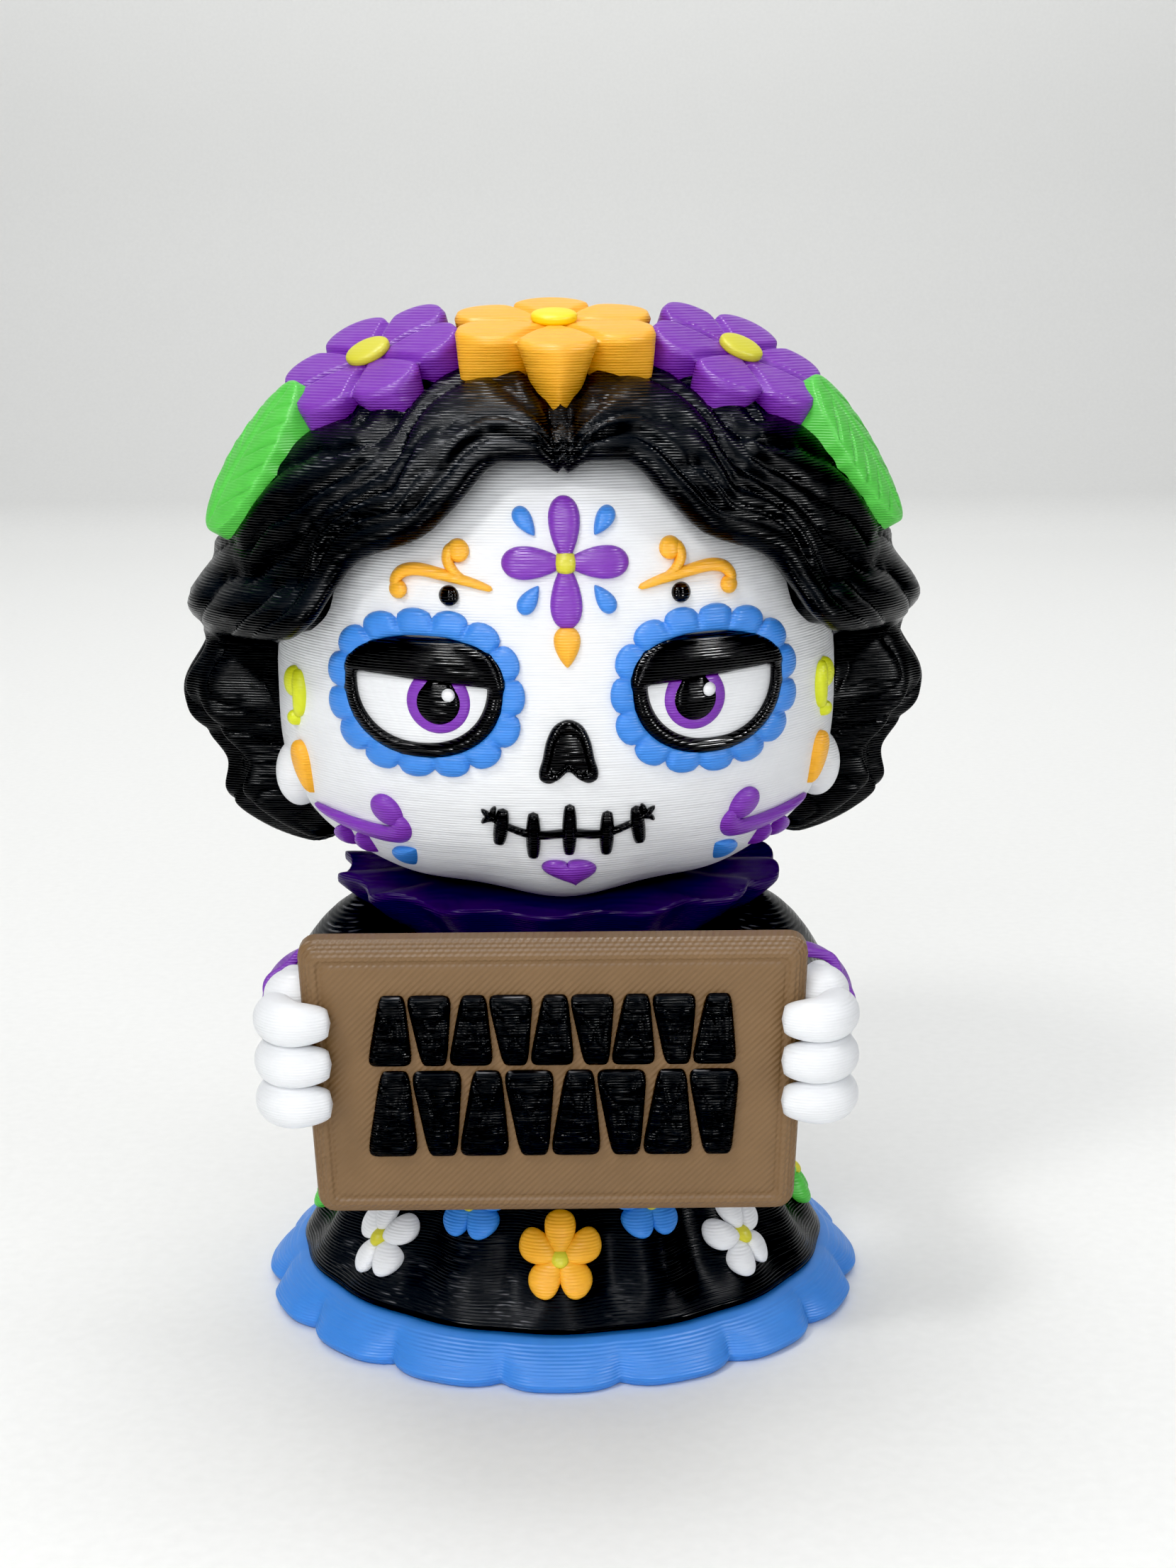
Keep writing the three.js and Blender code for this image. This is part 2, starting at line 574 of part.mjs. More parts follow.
// Height of the surface over the smooth hair: the parting on top, the ends of the locks below
function lockLift(corner) {
  const { depth, half_width, foot, top, end, fade } = PARTING;
  const line = bell(corner.x * HAIR_HALF_WIDTH, half_width) * (1 - smooth(end, end + fade, corner.y));
  const lock = 0.5 - 0.5 * Math.cos(Math.atan2(corner.y, corner.x) * LOCK.count);
  const ends = 1 - smooth(LOCK.full, LOCK.none, HAIR_CENTRE.z + HAIR_BOTTOM * corner.z);
  return -LOCK.depth * lock * ends - depth * line * smooth(foot, top, corner.z);
}

function hairEnvelope(margin) {
  return solid(shaped(ball(20, 12), hairRule(margin, () => 0)));
}

function buildHair() {
  const mass = solid(shaped(ball(LOCK.count * 2, 22), hairRule(0, lockLift)));
  const right = [...HAIRLINE, [HAIRLINE.at(-1)[0], OPENING.foot]];
  const outline = [...right, ...mirrored(right, -1).reverse()];
  const face = new THREE.Shape(outline.map(([x, z]) => new THREE.Vector2(x, z)));
  const opening = solid(stood(extruded(face, 40), 0, 0, [0, OPENING.back, 0]));
  const ears = SIDES.map(([, side]) => ellipsoid(
    [side * EAR.x, EAR.y, EAR.z],
    [EAR.width + GAP, EAR.depth + GAP, EAR.height + GAP],
    8,
    5,
  ));
  const room = joined([headForm(HAIR_LINING, 20, 12), ...ears]);
  piece('hair', mass.subtract(opening).subtract(room), 'black', head);
}

// Crown of flowers

function flowerShape(petals, radius, share) {
  const shape = new THREE.Shape();
  const petalRadius = radius * share;
  const reach = radius - petalRadius;
  const half = Math.PI / petals;
  const notch = reach * Math.cos(half) + Math.sqrt(petalRadius ** 2 - (reach * Math.sin(half)) ** 2);
  const spread = Math.atan2(notch * Math.sin(half), notch * Math.cos(half) - reach);
  for (let i = 0; i < petals; i += 1) {
    const turn = i * half * 2;
    const [x, y] = [reach * Math.cos(turn), reach * Math.sin(turn)];
    shape.absarc(x, y, petalRadius, turn - spread, turn + spread, false);
  }
  return shape;
}

// Turns a geometry that faces +Z to face along a normal, with its own turn about it
function facing(geometry, { at, normal, turn = 0 }, side = 1) {
  const aim = new THREE.Vector3(side * normal[0], normal[1], normal[2]).normalize();
  const across = new THREE.Vector3(0, 1, 0).cross(aim).normalize();
  const up = aim.clone().cross(across);
  const frame = new THREE.Matrix4().makeBasis(across, up, aim);
  frame.setPosition(side * at[0], at[1], at[2]);
  return geometry.rotateZ(side * turn * DEG).applyMatrix4(frame);
}

function buildCrown() {
  const scalp = hairEnvelope(SCALP_MARGIN);
  const slots = [
    ['crown_flower_orange', CROWN_FRONT, 1, 'orange', 'crown_centre_middle'],
    ['crown_flower_purple_left', CROWN_SIDE, -1, 'purple', 'crown_centre_left'],
    ['crown_flower_purple_right', CROWN_SIDE, 1, 'purple', 'crown_centre_right'],
  ];
  const { petals, petal, slab, centre } = CROWN_FLOWER;
  const body = (place, side, margin) => {
    const outline = flowerShape(petals, place.radius + margin, petal);
    return solid(facing(extruded(outline, slab + margin, 2).translate(0, 0, -slab), place, side));
  };
  let taken = scalp;
  for (const [name, place, side, plastic, centreName] of slots) {
    piece(name, body(place, side, 0).subtract(taken), plastic, head);
    const button = new THREE.CylinderGeometry(centre * 0.8, centre, 0.6, 10);
    button.rotateX(Math.PI / 2).translate(0, 0, 0.3 + RELIEF_FOOT);
    piece(centreName, solid(facing(button, place, side)), 'yellow', head);
    taken = taken.add(body(place, side, GAP));
  }
  for (const [label, side] of SIDES) {
    const blade = ringShape(14, (angle) => [
      (LEAF.length / 2) * rounded(Math.cos(angle), 1.7),
      (LEAF.width / 2) * Math.sin(angle),
    ]);
    const pad = new THREE.ExtrudeGeometry(blade, {
      depth: LEAF.thickness,
      bevelThickness: 0.6,
      bevelSize: 0.8,
      bevelSegments: 1,
    }).translate(0, 0, -LEAF.thickness - 0.6);
    piece(`crown_leaf_${label}`, solid(facing(pad, LEAF, side)).subtract(taken), 'green', head);
  }
}

// Collar, dress, cuffs and hem

function lathed(profile, around) {
  const points = profile.map(([radius, z]) => new THREE.Vector2(radius, z));
  return new THREE.LatheGeometry(points, around).rotateX(Math.PI / 2);
}

function collarRule(corner) {
  const radius = Math.hypot(corner.x, corner.y);
  const azimuth = Math.atan2(corner.x, -corner.y);
  const weight = smooth(COLLAR.base - 3, COLLAR.rim, radius);
  const out = 1 + (weight * COLLAR_WAVE.out * Math.cos(azimuth * PLEATS)) / radius;
  corner.x *= out;
  corner.y *= out * THREE.MathUtils.lerp(1, BODY_DEPTH_SHARE, weight);
  corner.z += weight * COLLAR_WAVE.up * Math.sin(azimuth * PLEATS);
}

function buildCollar() {
  const { inner, base, rim, foot, rim_low, rim_top, top } = COLLAR;
  const profile = [[inner, foot], [base, foot], [rim, rim_low], [rim, rim_top], [inner, top]];
  profile.push(profile[0]);
  piece('collar', solid(shaped(lathed(profile, PLEATS * 3), collarRule)), 'plum');
}

// The room that the collar takes, with its gap
function collarRoom() {
  const { base, rim, foot, rim_low } = COLLAR;
  const sill = GAP + COLLAR_WAVE.up;
  const profile = [[0, foot - GAP], [base, foot - GAP], [rim + 3, rim_low - sill], [rim + 3, 40], [0, 40]];
  return solid(shaped(lathed(profile, 24), (corner) => {
    corner.y *= BODY_DEPTH_SHARE;
  }));
}

// A limb: a ball drawn out along a smooth path, its width given at each share of its length
function limb(path, widthAt, power, around = 12, steps = 10) {
  const line = new THREE.CatmullRomCurve3(path.map(([x, y, z]) => new THREE.Vector3(x, y, z)));
  return solid(shaped(ball(around, steps), (corner) => {
    const t = Math.acos(THREE.MathUtils.clamp(-corner.z, -1, 1)) / Math.PI;
    const along = line.getTangent(t);
    const across = new THREE.Vector3(0, 0, 1).cross(along).normalize();
    const up = along.clone().cross(across);
    const level = Math.hypot(corner.x, corner.y) || 1;
    const width = widthAt(t) * rounded(level, power);
    const at = line.getPoint(t);
    at.addScaledVector(across, (corner.x / level) * width).addScaledVector(up, (corner.y / level) * width);
    corner.copy(at);
  }));
}

function cuffForm(side, margin) {
  const { at, inner, outer, length, lobes } = CUFF;
  const around = margin ? 14 : lobes * 2;
  const half = length / 2 + margin;
  const profile = margin
    ? [[0, -half], [outer + margin, -half], [outer + margin, half], [0, half]]
    : [[inner, -half], [outer - CUFF_FLARE.mouth, -half], [outer, half], [inner, half], [inner, -half]];
  const ring = shaped(lathed(profile, around), (corner) => {
    const angle = Math.atan2(corner.x, corner.y);
    const wave = margin || corner.z < 0 ? 1 : 1 + CUFF_FLARE.wave * Math.cos(angle * lobes);
    corner.x *= wave;
    corner.y *= wave;
  });
  return solid(stood(ring, side * CUFF.turn, CUFF.tilt, [side * at[0], at[1], at[2]]));
}

// Folds the skirt and makes the body shallower than it is wide above the waist
function gownRule(corner) {
  const radius = Math.hypot(corner.x, corner.y) || 1;
  const azimuth = Math.atan2(corner.x, -corner.y);
  const low = 1 - smooth(DRESS_FOOT, WAIST_HEIGHT, corner.z);
  const dip = 0.5 - 0.5 * Math.cos(azimuth * FOLD.count);
  const fold = radius > 1 ? 1 - (low * FOLD.depth * dip) / radius : 1;
  corner.x *= fold;
  corner.y *= fold * THREE.MathUtils.lerp(BODY_DEPTH_SHARE, 1, low);
}

function buildDress() {
  const profile = [[0, DRESS_FOOT], ...SKIRT_PROFILE, ...SHOULDER_PROFILE, [0, SHOULDER_PROFILE[1][1]]];
  const gown = solid(shaped(lathed(profile, FOLD.count * 2), gownRule));
  const { shoulder, wrist } = SLEEVE_RADIUS;
  const sleeves = SIDES.map(([, side]) => limb(
    SLEEVE_PATH.map(([x, y, z]) => [side * x, y, z]),
    (t) => THREE.MathUtils.lerp(shoulder, wrist, t),
    5,
    10,
    7,
  ));
  const room = joined([collarRoom(), ...SIDES.map(([, side]) => cuffRoom(side)), hemRoom()]);
  piece('dress', joined([gown, ...sleeves]).subtract(room), 'black');
}

// The cuff and hand take over from the sleeve at the wrist
function cuffRoom(side) {
  const { at, inner, turn, tilt } = CUFF;
  const end = new THREE.BoxGeometry(...WRIST_CUT.size);
  end.translate(side * at[0], at[1] - WRIST_CUT.before - WRIST_CUT.size[1] / 2, at[2]);
  const sleeve = cuffForm(side, GAP);
  const core = new THREE.CylinderGeometry(inner - GAP, inner - GAP, 6, 12);
  const wrist = solid(stood(core.rotateX(Math.PI / 2), side * turn, tilt, [side * at[0], at[1], at[2]]));
  return solid(end).add(sleeve.subtract(wrist));
}

function hemRoom() {
  const disc = new THREE.CylinderGeometry(HEM.rim, HEM.rim, DRESS_FOOT, 24).rotateX(Math.PI / 2);
  return solid(disc.translate(0, 0, DRESS_FOOT / 2));
}

// A flounce whose broad lobes part at narrow notches, which run out towards its top
function buildHem() {
  const { base, rim, top, height, lip } = HEM;
  const { count, notch, notch_turn } = HEM_LOBES;
  const profile = [[0, 0], [base, 0], [rim, lip], [top, height], [0, height]];
  const pitch = 360 / count;
  piece('hem', solid(shaped(lathed(profile, count * 4), (corner) => {
    const radius = Math.hypot(corner.x, corner.y);
    if (radius < 1) return;
    const azimuth = Math.atan2(corner.x, -corner.y) / DEG;
    const off = THREE.MathUtils.euclideanModulo(azimuth, pitch) - pitch / 2;
    const flare = 1 - 0.8 * smooth(lip, height, corner.z);
    const share = 1 - (notch * flare * bell(off, notch_turn)) / radius;
    corner.x *= share;
    corner.y *= share;
  })), 'blue');
}

// Sign and hands

function signShape(margin) {
  const { half_top, half_bottom, height, corner } = SIGN;
  const [top, low, half] = [half_top + margin, half_bottom + margin, height / 2 + margin];
  const shape = new THREE.Shape();
  shape.moveTo(-low + corner, -half);
  shape.lineTo(low - corner, -half);
  shape.quadraticCurveTo(low, -half, low, -half + corner);
  shape.lineTo(top, half - corner);
  shape.quadraticCurveTo(top, half, top - corner, half);
  shape.lineTo(-top + corner, half);
  shape.quadraticCurveTo(-top, half, -top, half - corner);
  shape.lineTo(-low, -half + corner);
  shape.quadraticCurveTo(-low, -half, -low + corner, -half);
  return shape;
}

function leant(geometry) {
  return solid(stood(geometry, 0, -SIGN_LEAN, SIGN_FRONT));
}

function signRoom() {
  const { thickness } = SIGN;
  return leant(extruded(signShape(GAP), thickness + GAP * 2, 3).translate(0, 0, -thickness - GAP));
}

// One row of upright petals, wide end up and wide end down by turns, that hang together at their waists
function rowShape({ centre, height, width, strokes }) {
  const pitch = width / strokes;
  const edges = [[], []];
  for (let i = 0; i < strokes; i += 1) {
    const x = -width / 2 + pitch * (i + 0.5);
    for (const [edge, way] of [[edges[0], 1], [edges[1], -1]]) {
      const wide = (i % 2 ? 1 : -1) * way > 0;
      const half = pitch * (wide ? 0.42 : 0.2);
      edge.push([x - pitch / 2, way * SIGN_BAR]);
      edge.push([x - half, (way * height) / 2]);
      edge.push([x + half, (way * height) / 2]);
    }
  }
  edges[0].push([width / 2, SIGN_BAR]);
  edges[1].push([width / 2, -SIGN_BAR]);
  const outline = [...edges[1], ...edges[0].reverse()];
  return new THREE.Shape(outline.map(([x, y]) => new THREE.Vector2(x, centre + y)));
}

function buildSign() {
  const { thickness, bevel } = SIGN;
  const board = new THREE.ExtrudeGeometry(signShape(-bevel), {
    depth: thickness - bevel * 2,
    bevelThickness: bevel,
    bevelSize: bevel,
    bevelSegments: 1,
    curveSegments: 3,
  }).translate(0, 0, -thickness + bevel);
  piece('sign', leant(board), 'brown');
  for (const row of SIGN_ROWS) {
    const strokes = extruded(rowShape(row), STROKE_RELIEF).translate(0, 0, RELIEF_FOOT);
    piece(`sign_strokes_${row.name}`, leant(strokes), 'black');
  }
}

function buildHands() {
  const room = signRoom();
  for (const [label, side] of SIDES) {
    const fingers = FINGER_HEIGHTS.map((z) => limb(
      FINGER_PATH.map(([x, y]) => [side * x, y, z]),
      () => FINGER_RADIUS,
      3.2,
      7,
      4,
    ));
    const at = (place) => [side * place[0], place[1], place[2]];
    const palm = ellipsoid(at(PALM.at), PALM.radii, 7, 5);
    const knuckle = ellipsoid(at(KNUCKLE.at), KNUCKLE.radii, 6, 4);
    const hand = joined([palm, knuckle, ...fingers]).subtract(room);
    piece(`hand_${label}`, hand, 'white');
    piece(`cuff_${label}`, cuffForm(side, 0), 'purple');
  }
}

function buildSkirtFlowers() {
  const { petals, petal, reach, thickness } = SKIRT_FLOWER;
  for (const [label, azimuth, z, plastic] of SKIRT_FLOWERS) {
    const outline = flowerShape(petals, reach, petal);
    const flower = extruded(outline, thickness, 2).rotateZ(Math.PI / 2);
    const tilt = Math.atan2(skirtRadius(z - 1) - skirtRadius(z + 1), 2) / DEG;
    const turn = azimuth * DEG;
    const outward = new THREE.Vector3(Math.sin(turn), -Math.cos(turn), 0);
    const seat = outward.multiplyScalar(skirtRadius(z)).setZ(z);
    gownRule(seat);
    seat.multiplyScalar(1 + FLOWER_LIFT / Math.hypot(seat.x, seat.y)).setZ(z);
    piece(`skirt_flower_${label}`, solid(stood(flower, azimuth, tilt, seat.toArray())), plastic);
  }
}

function skirtRadius(z) {
  const above = SKIRT_PROFILE.findIndex(([, height]) => height > z);
  const [[r0, z0], [r1, z1]] = [SKIRT_PROFILE[above - 1], SKIRT_PROFILE[above]];
  return THREE.MathUtils.mapLinear(z, z0, z1, r0, r1);
}

piece('skull_head', skullHead(), 'white', head);
buildFace();
SIDES.forEach(([label, side]) => buildEye(label, side));
buildHair();
buildCrown();
buildCollar();
buildDress();
buildHem();
buildSign();
buildHands();
buildSkirtFlowers();

export default figure;
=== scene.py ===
"""A small printed figurine: a skull-faced lady with a crown of flowers who holds up a sign."""

from functools import lru_cache
from math import acos, atan2, copysign, cos, degrees, dist, exp, hypot, radians, sin, sqrt
from math import pi as PI

import bmesh
import bpy
import numpy as np
from mathutils import Matrix, Vector


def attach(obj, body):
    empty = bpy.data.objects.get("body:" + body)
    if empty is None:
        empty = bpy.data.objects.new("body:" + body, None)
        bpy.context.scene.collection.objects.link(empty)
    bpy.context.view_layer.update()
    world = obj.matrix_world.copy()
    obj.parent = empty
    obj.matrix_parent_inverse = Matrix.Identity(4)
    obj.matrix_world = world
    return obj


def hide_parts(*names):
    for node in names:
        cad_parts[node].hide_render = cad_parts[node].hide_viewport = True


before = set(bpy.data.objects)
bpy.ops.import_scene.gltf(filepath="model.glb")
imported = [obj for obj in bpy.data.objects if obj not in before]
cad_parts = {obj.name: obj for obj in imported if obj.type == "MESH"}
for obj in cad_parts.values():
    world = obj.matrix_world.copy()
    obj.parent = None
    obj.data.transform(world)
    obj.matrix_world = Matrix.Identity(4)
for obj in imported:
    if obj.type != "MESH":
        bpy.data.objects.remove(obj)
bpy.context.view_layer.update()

MM = 0.001
SIDES = (("left", -1), ("right", 1))

# Head and hair, as in the solids, in millimetres
HEAD_Z, HEAD_HALF, HEAD_DEPTH = 50.0, 21.9, 0.9
CRANIUM, CRANIUM_POWER, JAW, JAW_POWER = 22.0, 2.2, 15.4, 2.9
HEAD_TURN = radians(3)
CHIN_OUT, CHIN_DOWN, CHIN_Z = 0.9, 1.1, 37.0
EAR, EAR_RADII = (20.2, -3.4, 43.1), (1.9, 2.2, 2.7)
NECK_Z, NECK_TALL, NECK_HALF, NECK_POWER = 34.8, 4, 8.2, 12
HAIR_Y, HAIR_Z, HAIR_HALF = 1.5, 51.0, 29.0
HAIR_FRONT, HAIR_FRONT_LOW, HAIR_BACK = 24.0, 6.0, 23.5
HAIR_TOP, HAIR_TOP_POWER, HAIR_BOTTOM, HAIR_BOTTOM_POWER = 25.0, 2.25, 15.4, 3.6
FORELOCK_END, FORELOCK_EDGE = 54.0, 1.3
WAVES = [(66, 0), (60, -1.2), (56.5, 0), (53.5, -1), (49, 0.8), (43, -1.5), (39.5, 0), (36.5, 1)]
WAVE_LAG = 3.6
LOCK_COUNT, LOCK_DEPTH = 16, 1.0
HAIRLINE = [(0, 67.7), (4.6, 67.6), (7.4, 64.9), (10.2, 62.4), (14.4, 60.8), (16.4, 58.7), (18.0, 56.4),
            (19.8, 54.8), (21.5, 53.2), (21.6, 50), (21.4, 46), (20.5, 42), (19.3, 40), (17.2, 38), (13, 36),
            (9, 34)]
RELIEF = 0.75
FOOT = -0.5

# Eyes
EYE_MID = (10.3, 50.3)
# Middle, half width, half height and the power of its edge
EYE_RING = (10.2, 51.4, 7.0, 5.9, 2.4)
LOBES = 15
LID = ((3.0, 51.85), (17.6, 53.05))
IRIS_MID, IRIS_HALF, PUPIL_HALF = (9.2, 50.95), 2.35, 1.78
# Half width, height above and below, middle, and the powers of the edge above and below
EYE_OUTER = (5.8, 3.5, 5.1, (10.3, 51.9), 2.8, 2.1)
EYE_INNER = (4.75, 4.45, 4.45, (10.4, 52.3), 2.2, 2.2)


def lerp(a, b, t):
    return a + (b - a) * t


def clamp(v, lo=0.0, hi=1.0):
    return max(lo, min(hi, v))


def smooth(lo, hi, v):
    t = clamp((v - lo) / (hi - lo))
    return t * t * (3 - 2 * t)


def bell(v, width):
    return exp(-((v / width) ** 2))


def rounded(v, power):
    return copysign(abs(v) ** (2 / power), v)


def curve(points, t):
    """A place and a direction at share t of a smooth line through points."""
    pts = [Vector(p) for p in points]
    at = clamp(t) * (len(pts) - 1)
    i = min(int(at), len(pts) - 2)
    u = at - i
    p1, p2 = pts[i], pts[i + 1]
    p0 = pts[i - 1] if i else p1 * 2 - p2
    p3 = pts[i + 2] if i + 2 < len(pts) else p2 * 2 - p1
    m1, m2 = (p2 - p0) / 2, (p3 - p1) / 2
    a, b = u * u, u * u * u
    place = p1 * (2 * b - 3 * a + 1) + m1 * (b - 2 * a + u) + p2 * (3 * a - 2 * b) + m2 * (b - a)
    way = p1 * (6 * a - 6 * u) + m1 * (3 * a - 4 * u + 1) + p2 * (6 * u - 6 * a) + m2 * (3 * a - 2 * u)
    return place, way.normalized()


def closed_curve(points, a):
    """A place at an angle of a smooth closed line through points."""
    n = len(points)
    at = (a / (2 * PI) % 1) * n
    i, u = int(at) % n, at % 1
    four = [points[(i + k - 1) % n] for k in range(4)]
    return tuple(
        p1 + 0.5 * u * (p2 - p0 + u * (2 * p0 - 5 * p1 + 4 * p2 - p3 + u * (3 * (p1 - p2) + p3 - p0)))
        for p0, p1, p2, p3 in zip(*four)
    )


# Meshes

RING_HALF = 2
SMALLEST = 1e-5


def skin(around, rows, rule):
    """A closed skin: rule(t, a) is the place for a share t from pole to pole and an angle a round it."""

    def build(bm):
        for v in bmesh.ops.create_uvsphere(bm, u_segments=around, v_segments=rows, radius=1)["verts"]:
            v.co = rule(acos(clamp(v.co.z, -1, 1)) / PI, atan2(v.co.y, v.co.x))

    return build


def ring(around, section, rule):
    """A closed ring: rule(a, s) is the place for an angle a round it and an angle s round its section."""

    def build(bm):
        upright = Matrix.Translation((RING_HALF, 0, 0)) @ Matrix.Rotation(PI / 2, 4, "X")
        loop = bmesh.ops.create_circle(bm, segments=section, radius=1, matrix=upright)["verts"]
        edges = {e for v in loop for e in v.link_edges}
        bmesh.ops.spin(bm, geom=list(loop) + list(edges), axis=(0, 0, 1), cent=(0, 0, 0), angle=2 * PI,
                       steps=around, use_merge=True)
        for v in bm.verts:
            out = hypot(v.co.x, v.co.y) - RING_HALF
            v.co = rule(atan2(v.co.y, v.co.x), atan2(v.co.z, out))

    return build


def add_object(name, data):
    obj = bpy.data.objects.new(name, data)
    bpy.context.scene.collection.objects.link(obj)
    return obj


def smooth_object(name, bm, material):
    for f in bm.faces:
        f.smooth = True
    mesh = bpy.data.meshes.new(name)
    bm.to_mesh(mesh)
    bm.free()
    mesh.materials.append(material)
    return add_object(name, mesh)


def piece(name, parts, material, turn=HEAD_TURN, in_cad=True):
    """Makes a named piece from what its parts add to an empty mesh, in millimetres, turned with the head."""
    bm = bmesh.new()
    for build in parts:
        build(bm)
    bmesh.ops.remove_doubles(bm, verts=bm.verts, dist=SMALLEST)
    bmesh.ops.dissolve_degenerate(bm, edges=bm.edges, dist=SMALLEST)
    bmesh.ops.recalc_face_normals(bm, faces=bm.faces)
    bmesh.ops.rotate(bm, verts=bm.verts, cent=(0, 0, 0), matrix=Matrix.Rotation(turn, 3, "Z"))
    bmesh.ops.scale(bm, verts=bm.verts, vec=(MM, MM, MM))
    obj = smooth_object(name, bm, material)
    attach(obj, "root")
    if in_cad:
        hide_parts(name)


# Materials


class Num:
    """A number in a node tree, so that patterns can be written as sums."""

    def __init__(self, tree, socket):
        self.tree, self.socket = tree, socket

    def op(self, kind, *others):
        node = self.tree.nodes.new("ShaderNodeMath")
        node.operation = kind
        for slot_, v in zip(node.inputs, (self, *others)):
            if isinstance(v, Num):
                self.tree.links.new(v.socket, slot_)
            else:
                slot_.default_value = v
        return Num(self.tree, node.outputs[0])

    def __add__(self, v):
        return self.op("ADD", v)

    def __sub__(self, v):
        return self.op("SUBTRACT", v)

    def __mul__(self, v):
        return self.op("MULTIPLY", v)

    def sin(self):
        return self.op("SINE")

    def rise(self, low, high):
        """Goes softly from 0 to 1 as the number goes from low to high."""
        node = self.tree.nodes.new("ShaderNodeMapRange")
        node.interpolation_type = "SMOOTHSTEP"
        self.tree.links.new(self.socket, node.inputs["Value"])
        node.inputs["From Min"].default_value = low
        node.inputs["From Max"].default_value = high
        return Num(self.tree, node.outputs["Result"])


def vector(tree, kind, *parts):
    """A vector sum in a node tree; parts are sockets, numbers or constant vectors."""
    node = tree.nodes.new("ShaderNodeVectorMath")
    node.operation = kind
    slots = (node.inputs[0], node.inputs["Scale"] if kind == "SCALE" else node.inputs[1])
    for slot_, part in zip(slots, parts):
        if isinstance(part, bpy.types.NodeSocket):
            tree.links.new(part, slot_)
        else:
            slot_.default_value = part
    return node.outputs["Value" if kind == "DOT_PRODUCT" else "Vector"]


def ramp(tree, fac, stops):
    """Colours at stops along a socket's value."""
    node = tree.nodes.new("ShaderNodeValToRGB")
    tree.links.new(fac, node.inputs["Fac"])
    line = node.color_ramp
    while len(line.elements) < len(stops):
        line.elements.new(0.5)
    for el, (at, colour) in zip(line.elements, stops):
        el.position, el.color = at, (*colour, 1)
    return node.outputs["Color"]


def linear(colour):
    """An 8-bit screen colour as linear light."""
    shares = [v / 255 for v in colour]
    return tuple(c / 12.92 if c <= 0.04045 else ((c + 0.055) / 1.055) ** 2.4 for c in shares)


def noise(tree, coord, scale, detail):
    """Soft noise over a place; scale is one number or one for each axis."""
    stretch = tree.nodes.new("ShaderNodeMapping")
    stretch.inputs["Scale"].default_value = scale
    tree.links.new(coord, stretch.inputs["Vector"])
    node = tree.nodes.new("ShaderNodeTexNoise")
    node.inputs["Scale"].default_value = 1
    node.inputs["Detail"].default_value = detail
    tree.links.new(stretch.outputs[0], node.inputs["Vector"])
    return Num(tree, node.outputs[0])


# Heights of a printed layer and of a line on the sign, in metres
LAYER, SIGN_LINE = 0.0002, 0.00036
# Coarseness of the unevenness along each axis, in waves for each metre
CLOUDS, STREAKS, DASHES, GRAIN = (260, 260, 260), (150, 150, 2600), (700, 700, 5200), (900, 900, 900)
STREAKY, LINE_TILT, UNEVEN_GLOSS = 1.6, 1.25, 0.35
GLOW_DEPTH = 0.0012
# Colours of the painted glints and the painted sheen, and the side the painted light comes from
PAINTED_GLINT = (0.36, 0.37, 0.40)
PAINTED_SHEEN = (0.009, 0.0105, 0.013)
PAINTED_LIGHT_SIDE = (-0.2, -0.5, 0.84)
INDEX_OF_REFRACTION = 1.46


def new_material(name):
    """A material with its shader, and the place on the object whole and as numbers."""
    mat = bpy.data.materials.new(name)
    mat.use_nodes = True
    tree = mat.node_tree
    coord = tree.nodes.new("ShaderNodeTexCoord").outputs["Object"]
    apart = tree.nodes.new("ShaderNodeSeparateXYZ")
    tree.links.new(coord, apart.inputs[0])
    return mat, tree, tree.nodes["Principled BSDF"], coord, [Num(tree, out) for out in apart.outputs]


